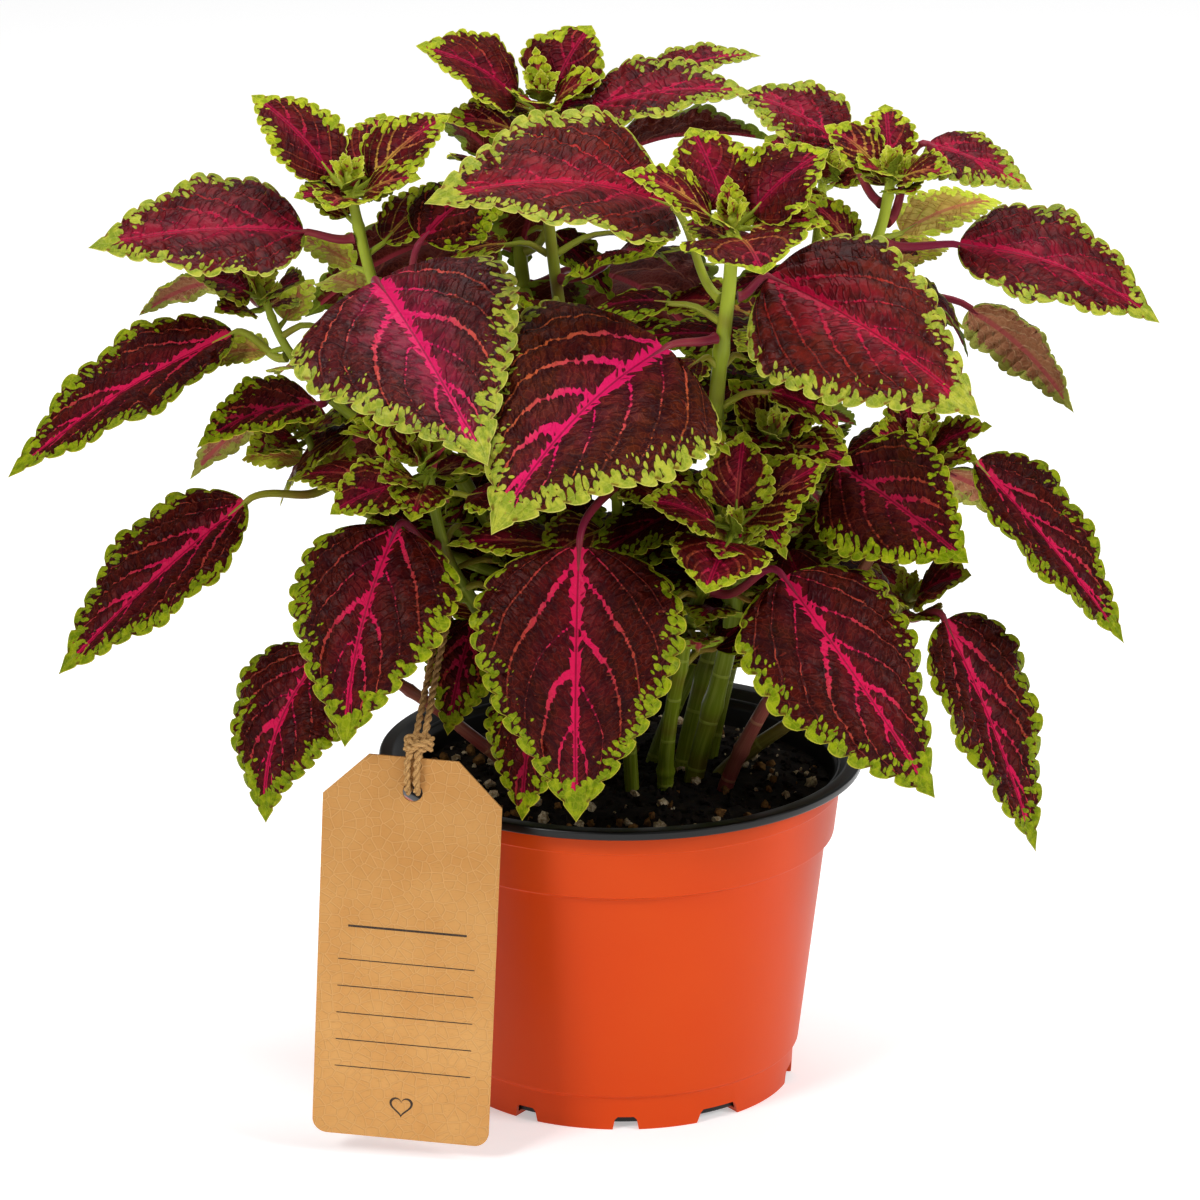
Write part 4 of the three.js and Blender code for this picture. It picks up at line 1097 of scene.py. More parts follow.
# ---- Leaves ----
@dataclass(frozen=True)
class Blade:
    """A leaf blade: scalloped, quilted between its side veins, with a ridge under the midrib."""

    base: Array
    tip: Array
    width: float
    arch: float
    face: Sequence[float]
    fold: float
    bow: float = 0.0
    seed: float = 0.0
    teeth: int = 14
    rows_per_tooth: int = 6
    columns: tuple[float, ...] = (0, 0.025, 0.06, 0.12, 0.2, 0.3, 0.41, 0.53, 0.65, 0.77, 0.88, 0.96, 1)
    thickness: float = 0.62
    ridge: float = 1.0  # the midrib's radius under the blade's foot
    quilt: float = 2.4
    wave: float = 0.065
    foot: float = BLADE_FOOT
    taper: float = BLADE_TAPER
    swell: float = 0.22  # how far the halves rise between the midrib and the edges, at first
    sunk: float = 0.35  # how deep the midrib lies
    lean: float = 0.0  # how much broader one half is at the foot, as a share of its width
    tilt: float = 0.0  # and how much higher that half's edge stands

    @property
    def chord(self) -> Array:
        """From base to tip."""
        return self.tip - self.base

    @property
    def length(self) -> float:
        """The straight length."""
        return size_of(self.chord)

    @property
    def up(self) -> Array:
        """The way the upper side looks, square to the chord."""
        along = unit(self.chord)
        face = vec(self.face)
        return unit(face - along * (face @ along))

    @property
    def side(self) -> Array:
        """Across the blade."""
        return np.cross(unit(self.chord), self.up)

    @property
    def swing(self) -> Array:
        """The midrib's way off the straight line, at its most."""
        return self.up * (self.arch * self.length) + self.side * (self.bow * self.length)

    def midrib(self, u: Array) -> Array:
        """Points on the midrib at shares of the length."""
        u = np.asarray(u, float)[..., None]
        return self.base + self.chord * u + self.swing * 4 * u * (1 - u)

    def under(self, u: Sequence[float], drop: float) -> Array:
        """Points under the midrib, where a petiole runs on."""
        return self.midrib(np.array(u)) - self.up * drop

    def tangent(self, u: Array) -> Array:
        """The midrib's direction there."""
        u = np.asarray(u, float)[..., None]
        return unit(self.chord + self.swing * 4 * (1 - 2 * u))

    def plain_half(self, u: Array) -> Array:
        """The half width without its scallops at shares of the length."""
        peak = self.foot / (self.foot + self.taper)
        most = peak**self.foot * (1 - peak) ** self.taper
        return self.width / 2 * u**self.foot * (1 - u) ** self.taper / most

    def half_width(self, u: Array) -> Array:
        """The scalloped half width at shares of the length."""
        turn = (u * self.teeth) % 1.0
        bulge = np.sqrt(np.clip(1 - (2 * turn - 1) ** 2, 0, 1))
        depth = 0.4 * self.length / self.teeth
        hold = smooth(u, 0.02, 0.12) * smooth(1 - u, 0.015, 0.16)
        return self.plain_half(u) + depth * hold * (bulge - 0.72)

    def outlook(self, rows: int = 8) -> Array:
        """Points spread over the blade, for measuring its distance from others."""
        u = np.linspace(0.05, 1.0, rows)
        middle, across = self.midrib(u), np.cross(self.tangent(u), self.up)
        half = self.plain_half(np.minimum(u, 0.97))[:, None]
        return np.concatenate([middle + across * half * v for v in (-1.0, -0.5, 0.0, 0.5, 1.0)])

    def build(self, body: Builder, upper: int, under: int) -> None:
        """Adds the blade to a builder.

        Args:
            body: the builder, with the fields of LEAF_FIELDS.
            upper: the material number of the upper side.
            under: and of the under side.
        """
        count = self.teeth * self.rows_per_tooth + 1
        u = np.linspace(0.0, 1.0, count)
        u[0], u[-1] = 0.004, 0.9985
        v = np.array([-c for c in self.columns[:0:-1]] + list(self.columns))
        hand = np.sign(v)[None]
        lopsided = 1 + self.lean * hand * (1 - u[:, None])
        half = self.half_width(u)[:, None] * lopsided
        tangent = self.tangent(u)
        normal = unit(np.cross(self.side[None], tangent))
        across = np.cross(tangent, normal)
        w = np.abs(v)[None]
        along = (u * self.length)[:, None]
        out = half * w
        # The halves swell between a sunken midrib and the edges; the edges wave.
        rise = self.swell * w + (self.fold - self.swell) * w**2
        height = half * (rise + self.tilt * hand * w)
        share = out / (np.maximum(self.plain_half(u), 0.3)[:, None] * lopsided)
        phase = (u[:, None] - RIB_LEAN * share - RIB_CURVE * share**2) * RIB_PAIRS + RIB_START
        phase = phase + RIB_OFFSET * np.clip(v / 0.1, -1, 1)[None] + 0.3 * math.sin(self.seed * 2.7)
        off = np.abs(phase - np.round(phase))
        room = smooth(w, 0.04, 0.3) * smooth(1 - w, 0.0, 0.25) * np.minimum(half / 20, 1)
        height = height + self.quilt * room * (np.sin(math.pi * off) - 0.5)
        height = height - self.sunk * np.minimum(half / 12, 1) * np.exp(-((out / 1.1) ** 2))
        swell = np.sin(2 * math.pi * (3.1 * u[:, None] + 0.17 * self.seed) + np.where(v < 0, 1.9, 0.0)[None])
        height = height + self.wave * half * swell * w**3 * smooth(u, 0.05, 0.3)[:, None]
        middle = self.midrib(u)[:, None]
        sideways = across[:, None] * (half * v[None])[..., None]
        top = middle + sideways + normal[:, None] * height[..., None]
        thick = self.thickness * (0.35 + 0.65 * (1 - w**2)) * np.minimum(half / 3, 1)
        stalk = self.ridge * (1 - 0.85 * u[:, None])
        thick = thick + 1.1 * stalk * np.exp(-((out / (0.8 * stalk)) ** 2)) * np.minimum(half / 2, 1)
        bottom = top - normal[:, None] * thick[..., None]
        place = stacked(u[:, None], phase, self.seed)
        span = stacked(along, half * v[None], half * (1 - w))
        rim = stacked((u * self.teeth)[:, None], share, 0.0)
        last = len(v) - 1
        body.rings(
            wrapped(top, bottom), lambda k: upper if k > last else under, leaf_place=wrapped(place, place),
            leaf_span=wrapped(span, span), leaf_rim=wrapped(rim, rim),
        )


@dataclass(frozen=True)
class LargeLeaf:
    """A leaf with its petiole, on the shoot that carries it."""

    name: str
    plan: LeafPlan
    shoot: Growth
    seed: float

    @property
    def blade(self) -> Blade:
        """The leaf's blade."""
        plan = self.plan
        teeth = 10 + round(plan.width / 25)
        return Blade(
            vec(plan.base), vec(plan.tip), plan.width, plan.arch, plan.face, plan.fold, plan.bow, self.seed,
            teeth, foot=plan.foot, lean=plan.lean, tilt=plan.tilt,
        )

    def root(self) -> tuple[Array, Array]:
        """Where the petiole stands on its stem, and the way it leaves it."""
        base = vec(self.plan.base)
        found = []
        for run in (self.shoot, *self.shoot.branches):
            if run.path[0][2] <= self.plan.at <= run.path[-1][2]:
                share = run.share_at(self.plan.at)
                line = Line(run.path)
                axis = line.at(share)
                found.append((size_of(axis - base), axis, line.tangent(share), run.radius_at(share)))
        _, axis, tangent, radius = min(found, key=lambda row: row[0])
        away = base - axis
        away = unit(away - tangent * (away @ tangent))
        return axis + away * (radius + PETIOLE_SEAT), away

    def build(self, materials: Finishes) -> None:
        """Makes the leaf and its petiole."""
        plan, blade = self.plan, self.blade
        body = Builder(*LEAF_FIELDS)
        blade.build(body, Skin.UPPER, Skin.UNDER)
        root, away = self.root()
        reach = size_of(blade.base - root)
        start = root + away * (reach * PETIOLE_SWEEP)
        approach = blade.base - blade.tangent(np.array(0.0)) * (reach * PETIOLE_SWEEP)
        t = np.linspace(0, 1, 16)[:, None]
        stalk = root * (1 - t) ** 3 + 3 * start * t * (1 - t) ** 2 + 3 * approach * t**2 * (1 - t)
        stalk = stalk + blade.base * t**3
        # The petiole sits just under the blade's foot and runs on into the midrib's ridge.
        stalk[-1] -= blade.up * 0.35
        line = np.concatenate([stalk, blade.under((0.02, 0.05, 0.09), 0.8)])
        radii = np.concatenate([PETIOLE * (1 - PETIOLE_THINS * t[:, 0]), [1.0, 0.9, 0.6]])
        radii[0] *= 1.25
        body.tube(line, radii, 12, blade.side, self.seed)
        stalk_finish = materials["petiole" if plan.green_stalk else "petiole_dark"]
        below = materials["underside_backlit" if plan.pale_under else "underside"]
        piece = body.make(f"foliage_{self.name}", [materials[plan.tone], below, stalk_finish], LEAF_SHARP)
        dress(piece, [f"leaf_{self.name}"])


@dataclass(frozen=True)
class Shoot:
    """A leafy stem with its branches and small leaves."""

    name: str
    growth: Growth
    seed: float
    ring_height: float = 0.2  # of the ring at each node, over the stem's radius
    ring_width: float = 0.08  # as a share of the way to the next node
    node_swell: float = 0.05
    top_thins: float = 0.6
    tooth: float = 4.2  # the length of a small leaf's scallops
    fine_from: float = 15.0  # a leaf longer than this gets the fine columns
    fine: tuple[float, ...] = (0, 0.07, 0.17, 0.32, 0.5, 0.7, 0.88, 1)
    coarse: tuple[float, ...] = (0, 0.2, 0.5, 0.8, 1)
    stalk: tuple[float, ...] = (1.1, 1.0, 0.85, 0.6, 0.3)  # a small petiole's radii
    heart: tuple[Triple, ...] = ((2.5, 8, 5), (6.5, 9, 7.5), (12, 8, 10), (20, 3, 15))  # out, up, width

    def stem(self, body: Builder, growth: Growth, seed: float) -> None:
        """Adds a stem with its node rings, and then what grows on it."""
        line = Line(growth.path)
        stations = 2 * len(growth.path) - 2
        count = stations * 12 + 1
        shares = np.linspace(0, 1, count)
        base = growth.radii[0] + (growth.radii[1] - growth.radii[0]) * shares
        phase = (shares * stations) % 2 - 1
        ring = self.ring_height * np.exp(-((phase / self.ring_width) ** 2))
        radii = STEM_SLIM * base * (1 + self.node_swell * (1 - np.abs(phase)) + ring)
        radii[-1] *= self.top_thins
        body.tube(line.along(count), radii, 12, vec((1, 0, 0)), seed, square=0.25)
        crown = line.at(1.0) - UP
        node = line.at(1.0 - 0.2 / (len(growth.path) - 1))
        for number, (dx, dy, dz, width) in enumerate(growth.crown):
            offset = crown + vec((dx, dy, dz)) - node
            self.small_leaf(body, node, offset, CROWN_SPREAD * width, growth.face, seed + 1.3 * number)
        for number, (height, dx, dy, dz, width) in enumerate((*growth.side, *growth.pale)):
            root, way = line.at(growth.share_at(height)), vec((dx, dy, dz))
            # The pale rows get the finish painted with the glow of light from behind.
            upper = Skin.LIME if number >= len(growth.side) else Skin.UPPER
            self.small_leaf(body, root, way, width, growth.face, seed + 20 + 1.7 * number, upper)
        if growth.crown:
            self.bud(body, crown, seed)

    def bud(self, body: Builder, crown: Array, seed: float) -> None:
        """Adds crosswise pairs of unopened leaves in a crown's heart, and a half-grown pair below it."""
        for pair, (out, up, width) in enumerate(self.heart):
            for half in (0, 1):
                angle = seed * 2.1 + math.pi / 2 * pair + math.pi * half
                foot = crown - UP * 2.5 * pair
                upper = Skin.OTHER if pair < len(self.heart) - 1 else Skin.UPPER
                number = seed + 40 + 2 * pair + half
                self.small_leaf(body, foot, around(angle, out, up), width, SMALL_FACE, number, upper)

    def small_leaf(
        self, body: Builder, root: Array, offset: Array, width: float, face: Triple, seed: float,
        upper: Skin = Skin.UPPER,
    ) -> None:
        """Adds a small leaf.

        Args:
            body: the builder.
            root: where the leaf stands on its stem.
            offset: from there to its tip.
            width: the blade's width.
            face: the way the upper side looks.
            seed: a number of its own.
            upper: the material number of the upper side.
        """
        size = size_of(offset)
        teeth = max(6, min(10, round(size / self.tooth)))
        rows, columns = (4, self.fine) if size > self.fine_from else (3, self.coarse)
        blade = Blade(
            root + offset * 0.2, root + offset, width, 0.1, face, 0.12, 0.0, seed, teeth, rows, columns,
            thickness=0.5, ridge=0.5, quilt=0.8, wave=0.06, foot=0.5, taper=1.02,
        )
        blade.build(body, upper, Skin.LIME_UNDER if upper == Skin.LIME else Skin.UNDER)
        line = np.concatenate([[root, root + offset * 0.1], blade.under(SMALL_RUN, 0.35)])
        body.tube(line, np.array(self.stalk), 8, blade.side, seed)

    def build(self, materials: Finishes) -> None:
        """Makes the shoot, with its branches."""
        body = Builder(*LEAF_FIELDS)
        for number, run in enumerate((self.growth, *self.growth.branches)):
            self.stem(body, replace(run, face=self.growth.face), self.seed + 3.1 * number)
        keys = (Tone.YOUNG, "underside", self.growth.skin, Tone.BUD, Tone.LIME, "underside_backlit")
        piece = body.make(f"stem_{self.name}", [materials[key] for key in keys], LEAF_SHARP)
        dress(piece, [f"shoot_{self.name}"])


@dataclass(frozen=True)
class Thicket:
    """The leaves at the stems' lower nodes, in crosswise pairs, under the canopy of the large ones."""

    middle: Triple = (4, -2, 222)
    reach: Triple = (122, 92, 108)
    ground: float = 126.0
    front_ground: float = 160.0  # the same in front, where the stems stand bare
    pitch: float = 16.0  # from one node to the next
    length: Pair = (28.0, 54.0)
    shape: float = 0.66  # width over length
    petiole: Pair = (6.0, 26.0)
    clear: float = 3.2  # kept free on every side of a blade
    sunlit: float = 0.8  # how far out a leaf gets the brighter finish
    lowest: float = 140.0  # the first node's height, at least
    stalk: Pair = (1.3, 0.45)  # a petiole's radius at its foot and at its end
    sway: float = 0.5  # how far a leaf may turn from its node's way, in radians
    slope: Pair = (-60.0, 25.0)  # a blade's, in degrees
    lift: Pair = (-2.0, 8.0)  # its foot's height over the node
    arch: Pair = (0.05, 0.14)
    fold: float = 0.15
    tooth: float = 4.4
    columns: tuple[float, ...] = (0, 0.1, 0.32, 0.58, 0.84, 1)
    tries: int = 24
    seed: int = 5

    def fits(self, points: Array, others: Array, canopy: Array) -> bool:
        """Whether a blade's points are free.

        Args:
            points: the blade's.
            others: points of what it must stay clear of.
            canopy: points of the large leaves, which it must stay under.

        Returns:
            True where it may grow.
        """
        away = points - vec(self.middle)
        ground = np.where(points[:, 1] < 5, self.front_ground, self.ground)
        if (np.linalg.norm(away / vec(self.reach), axis=1) > 1).any() or (points[:, 2] < ground).any():
            return False
        gaps = np.linalg.norm(points[:, None] - others[None], axis=2)
        if gaps.min() < self.clear:
            return False
        roof = canopy - vec(self.middle)
        same_way = unit(away) @ unit(roof).T > 0.993
        beyond = np.linalg.norm(away, axis=1)[:, None] > np.linalg.norm(roof, axis=1)[None] - self.clear
        return not (same_way & beyond).any()

    def build(self, shoots: dict[str, Growth], large: Sequence[Blade], materials: Finishes) -> None:
        """Makes the leaves, one piece for each planted shoot, clear of the large leaves' blades."""
        rng = np.random.default_rng(self.seed)
        canopy = np.concatenate([blade.outlook() for blade in large])
        taken = [canopy]
        for name, growth in shoots.items():
            body = Builder(*LEAF_FIELDS)
            for run in (growth, *growth.branches):
                line = Line(run.path)
                turn = rng.uniform(0, math.pi)
                heights = np.arange(max(run.path[0][2] + 12, self.lowest), run.path[-1][2] - 8, self.pitch)
                for place in range(2 * len(heights)):
                    share = run.share_at(float(heights[place // 2]))
                    axis, radius = line.at(share), run.radius_at(share)
                    angle = turn + math.pi / 2 * (place // 2) + math.pi * (place % 2)
                    blade = self.grow(rng, axis, angle, np.concatenate(taken), canopy)
                    if blade is None:
                        continue
                    taken.append(blade.outlook())
                    depth = size_of((blade.tip - vec(self.middle)) / vec(self.reach))
                    # Leaves within take the darker finish painted with the canopy's shade, those far out the
                    # brighter one.
                    blade.build(body, Skin.OTHER if depth > self.sunlit else Skin.UPPER, Skin.UNDER)
                    root = axis + unit(blade.base - axis) * radius * 0.7
                    bend = root + (blade.base - root) * 0.5 + UP * 2.0
                    stalk = Line(np.concatenate([[root, bend], blade.under(SMALL_RUN, 0.5)])).along(10)
                    body.tube(stalk, np.linspace(*self.stalk, 10), 6, blade.side, blade.seed)
            if body.count:
                finishes = [materials[key] for key in (Tone.INNER, "underside", "petiole", Tone.YOUNG)]
                dress(body.make(f"thicket_{name}", finishes, LEAF_SHARP))
        LOG.info("thicket: %d leaves", len(taken) - 1)

    def grow(
        self, rng: np.random.Generator, axis: Array, angle: float, others: Array, canopy: Array
    ) -> Blade | None:
        """Looks for a free place for a leaf at a node.

        Args:
            rng: the source of chance.
            axis: the node's place.
            angle: the way in which the leaf stands out of its stem.
            others: points of what it must stay clear of.
            canopy: points of the large leaves.

        Returns:
            The blade, or None where there is no room.
        """
        for number in range(self.tries):
            out = around(angle + rng.uniform(-self.sway, self.sway))
            length = rng.uniform(*self.length) * (1 - 0.015 * number)
            pitch = math.radians(rng.uniform(*self.slope))
            base = axis + out * rng.uniform(*self.petiole) + UP * rng.uniform(*self.lift)
            tip = base + (out * math.cos(pitch) + UP * math.sin(pitch)) * length
            face = vec((0, -0.25, 1)) - out * math.sin(pitch) * 0.8
            arch, fold = rng.uniform(*self.arch), rng.uniform(-self.fold, self.fold)
            seed, teeth = rng.uniform(0, 90), max(7, round(length / self.tooth))
            blade = Blade(
                base, tip, length * self.shape, arch, face, fold, 0.0, seed, teeth, 3, self.columns,
                thickness=0.5, ridge=0.6, quilt=1.2, wave=0.06,
            )
            if self.fits(blade.outlook(6), others, canopy):
                return blade
        return None


@dataclass(frozen=True)
class Plant:
    """Everything that grows, with the steps between one piece's seed and the next."""

    leaf_seeds: Pair = (2.0, 3.3)
    shoot_seeds: Pair = (1.0, 5.7)

    def build(self) -> None:
        """Makes every shoot and every large leaf."""
        materials: Finishes = {tone: tone.value.material(f"leaf_{tone.name.lower()}") for tone in Tone}
        materials["underside"] = UndersideFinish().material("leaf_underside")
        # A pale underside, painted with the glow of light shining through the leaf from behind.
        pale = UndersideFinish("c0845e", "a8684c", "d8ac80", "c0605c", "bcc058")
        materials["underside_backlit"] = pale.material("leaf_underside_pale")
        materials["petiole"] = StemFinish("847c1c", "a49c4c", "7c302c", 0.35).material("petiole")
        dark = StemFinish("6c241c", "8a4a2c", "801a3c", 0.5, "883038")
        materials["petiole_dark"] = dark.material("petiole_dark")
        for skin in (GREEN, REDDISH, OLIVE):
            materials[skin] = skin.material(f"stem_skin_{skin.skin}")
        shoots = SHOOTS | {f"back_{name}": back_shoot(SHOOTS[name]) for name in BACK_SHOOTS}
        leaves = LEAVES | {f"back_{name}": back_leaf(LEAVES[name]) for name in BACK_LEAVES}
        planted = {name: growth.planted() for name, growth in shoots.items()}
        large = [
            LargeLeaf(name, plan, planted[plan.on], self.leaf_seeds[0] + self.leaf_seeds[1] * number)
            for number, (name, plan) in enumerate(leaves.items())
        ]
        for number, (name, growth) in enumerate(planted.items()):
            Shoot(name, growth, self.shoot_seeds[0] + self.shoot_seeds[1] * number).build(materials)
        for leaf in large:
            leaf.build(materials)
        Thicket().build(planted, [leaf.blade for leaf in large], materials)


# ---- Pots and soil ----
def rounded(profile: Sequence[Sequence[float]], radius: float, steps: int = 3) -> Array:
    """A closed profile with its corners rounded.

    Args:
        profile: [radius, height] points; one on the axis keeps its place.
        radius: how much of each edge the rounding takes, at most.
        steps: points on each rounded corner.

    Returns:
        The rounded profile.
    """
    points = [vec(p) for p in profile]
    made = []
    for i, here in enumerate(points):
        before, after = points[i - 1], points[(i + 1) % len(points)]
        if here[0] < 1e-6:
            made.append(here)
            continue
        first, second = before - here, after - here
        cut = min(radius, 0.4 * size_of(first), 0.4 * size_of(second))
        a, b = here + unit(first) * cut, here + unit(second) * cut
        for k in range(steps + 1):
            t = k / steps
            made.append(a * (1 - t) ** 2 + here * 2 * t * (1 - t) + b * t**2)
    return np.array(made)


def cut(piece: Piece, tools: Sequence[Piece]) -> None:
    """Cuts closed tool bodies out of a piece and removes the tools."""
    for tool in tools:
        modifier = piece.modifiers.new("cut", "BOOLEAN")
        modifier.operation = "DIFFERENCE"
        modifier.solver = "EXACT"
        modifier.object = tool
    bpy.context.view_layer.update()
    graph = bpy.context.evaluated_depsgraph_get()
    mesh = bpy.data.meshes.new_from_object(piece.evaluated_get(graph))
    piece.modifiers.clear()
    old = piece.data
    piece.data = mesh
    mesh.name = old.name
    bpy.data.meshes.remove(old)
    for tool in tools:
        bpy.data.meshes.remove(tool.data)


def turned(name: str, profile: Sequence[Sequence[float]], radius: float, finish: Material) -> Piece:
    """Makes a pot from its closed [radius, height] profile, with its corners rounded."""
    body = Builder()
    body.lathe(rounded(profile, radius), POT_STEPS)
    return body.make(name, [finish], POT_SHARP, weld=True)


@dataclass(frozen=True)
class PotShell:
    """The outer pot: tapered, with a collar under the rim, a foot step and drain notches."""

    outside: Pairs = (
        (59.4, 0), (60, 11.7), (61.6, 13), (70.6, 87.7), (73.3, 89), (75.2, 105), (75.8, 105.4), (76, 112.4),
    )
    wall: float = 1.3
    floor: float = 1.6
    notches: Pairs = (
        (1.5, 9), (34, 17), (78, 12), (112, 9), (147, 17), (181, 9), (214, 9), (248, 12), (282, 12), (327, 9),
    )
    notch_height: float = 4.8
    notch_taper: float = 0.8
    notch_corner: float = 1.0
    notch_reach: Pair = (50.0, 70.0)  # from the axis, of what cuts them

    def build(self) -> None:
        """Makes the shell and cuts its notches."""
        inside = [(r - self.wall, z) for r, z in self.outside if z > self.floor]
        foot = self.outside[0][0]
        profile = [(0, 0), *self.outside, *inside[::-1], (foot - self.wall, self.floor), (0, self.floor)]
        plastic = PotPlastic("cb3f00", "cc4706", 0.42).material("terracotta_plastic")
        piece = turned("pot_outer", profile, 0.45, plastic)
        tools = []
        for angle, width in self.notches:
            half = foot * math.tan(math.radians(width / 2))
            top = half * self.notch_taper
            high, corner = self.notch_height, self.notch_corner
            right = [(half, -1), (top, high - corner), (top - corner, high)]
            outline = [(-half, -1), *right, *[(-x, z) for x, z in right[:0:-1]]]
            loop = np.array([[(x, -reach, z) for x, z in outline] for reach in self.notch_reach])
            turn = np.array(Matrix.Rotation(math.radians(angle), 3, "Z"))
            tool = Builder()
            tool.rings(loop[::-1] @ turn.T)
            tools.append(tool.make("notch", [], weld=True))
        cut(piece, tools)
        piece.data.set_sharp_from_angle(angle=math.radians(POT_SHARP))
        dress(piece, ["pot_shell"])


@dataclass(frozen=True)
class PotLiner:
    """The black inner pot, hung by its lip."""

    outside: Pairs = (
        (57.6, 2.1), (58.2, 11.5), (59.7, 13.5), (68.7, 87.7), (73.4, 105), (74.3, 110),
    )
    wall: float = 1.2
    floor: float = 2.0
    lip: Pairs = ((74.3, 112.8), (82.7, 112.8), (83, 115.4), (82.4, 116), (78, 116))
    throat: Pair = (73.1, 110.5)

    def build(self) -> None:
        """Makes the liner."""
        inside = [(r - self.wall, z) for r, z in self.outside[1:-1]]
        foot, low = self.outside[0]
        bottom = low + self.floor
        outer = [(0, low), *self.outside, *self.lip, self.throat]
        profile = [*outer, *inside[::-1], (foot - self.wall, bottom), (0, bottom)]
        plastic = PotPlastic("050505", "0d0d0c", 0.3, 0.08, 0.3).material("black_plastic")
        dress(turned("pot_inner", profile, 0.8, plastic), ["pot_liner"])


@dataclass(frozen=True)
class Soil:
    """The potting mix: a crowned, crumbly bed with loose crumbs and perlite on it."""

    outside: Pairs = ((56.1, 4.4), (56.7, 11.5), (58.2, 13.5), (67.2, 87.7), (71.8, 104.2))
    edge: float = 104.2
    crown: float = 107.4
    rings: int = 46
    steps: int = 150
    crumbs: int = 900
    crumb: Pair = (0.7, 1.9)  # a crumb's radius
    grains: int = 300
    dust: Pair = (0.35, 0.9)  # the radius of the small grains
    grain: Pair = (1.2, 2.3)  # and of the large ones
    dusty: float = 0.6  # the share of small ones
    woody: float = 0.35  # the share of bark
    seed: int = 11

    def level(self, x: Array, y: Array) -> Array:
        """The bed's height at places."""
        share = np.clip(np.hypot(x, y) / self.outside[-1][0], 0, 1)
        points = np.stack([x, y], axis=-1).reshape(-1, 2)
        rough = 0.8 * lumps(points, 17, 1) + 0.55 * lumps(points, 7, 2) + 0.3 * lumps(points, 3.2, 3)
        domed = self.edge + (self.crown - self.edge) * (1 - share**2)
        return domed + rough.reshape(x.shape) * (1 - 0.6 * share**6) - 0.4

    def spot(self, radius: float, angle: float) -> Array:
        """The point of the bed at a distance from the middle and an angle."""
        x, y, _ = around(angle, radius)
        return vec((x, y, self.level(vec([x]), vec([y]))[0]))

    def lump(self, body: Builder, rng: np.random.Generator, at: Array, size: float, slot: int) -> None:
        """Adds a crumb: a rough ball of a few rings."""
        rows, sides = 5, 6
        latitude = np.linspace(-1.2, 1.2, rows)
        angle, wide = circle(sides), np.cos(latitude)[:, None]
        ball = stacked(wide * np.cos(angle), wide * np.sin(angle), np.sin(latitude)[:, None])
        ball *= 1 + 0.22 * rng.normal(size=(rows, sides, 1)).clip(-1.5, 1.5)
        ball *= rng.uniform(0.6, 1.25, size=3)
        turn = np.array(Matrix.Rotation(rng.uniform(0, 6.28), 3, Vector(rng.normal(size=3))))
        body.rings(at + ball @ turn.T * size, slot)

    def build(self) -> None:
        """Makes the bed with its crumbs, and the perlite."""
        radius = self.outside[-1][0]
        body = Builder()
        shares = np.linspace(1, 0.004, self.rings)
        angle, wide = circle(self.steps), radius * shares[:, None]
        x, y = wide * np.cos(angle), wide * np.sin(angle)
        top = stacked(x, y, self.level(x, y))
        walls = np.array([[around(a, r, z) for a in angle] for r, z in self.outside[:-1]])
        body.rings(np.concatenate([walls, top]))
        rng = np.random.default_rng(self.seed)
        for _ in range(self.crumbs):
            spot = self.spot((radius - 2) * math.sqrt(rng.uniform(0, 1)), rng.uniform(0, 2 * math.pi))
            self.lump(body, rng, spot, rng.uniform(*self.crumb), 0)
        mix = CrumbFinish("090706", "231a12").material("potting_mix")
        dress(body.make("potting_soil", [mix], 50), ["soil"])
        grains = Builder()
        for _ in range(self.grains):
            spot = self.spot((radius - 3) * rng.uniform(0, 1) ** 0.4, rng.uniform(0, 2 * math.pi))
            size = rng.uniform(*(self.dust if rng.uniform() < self.dusty else self.grain))
            self.lump(grains, rng, spot + UP * 0.5 * size, size, int(rng.uniform() < self.woody))
        pale = CrumbFinish("8c7450", "e0d2b2", 700.0, 0.85).material("perlite")
        bark = CrumbFinish("4a2e12", "8a6434", 400.0, 0.9).material("bark")
        dress(grains.make("soil_perlite", [pale, bark], 50))


# ---- Tag and twine ----
@dataclass(frozen=True)
class TagPlace:
    """Where the tag hangs: the middle of its top edge, and how it is turned."""

    at: Triple = (-68.5, -85.0, 143.0)
    yaw: float = -8.0
    roll: float = 2.5
    thickness: float = 0.8
    hole_drop: float = 12.0

    def on(self, *points: Sequence[float]) -> Array:
        """Points of the tag's own frame in the part's."""
        turn = Matrix.Rotation(math.radians(self.yaw), 3, "Z")
        turn = turn @ Matrix.Rotation(math.radians(self.roll), 3, "Y")
        return np.array([vec(turn @ Vector(point)) + vec(self.at) for point in points])


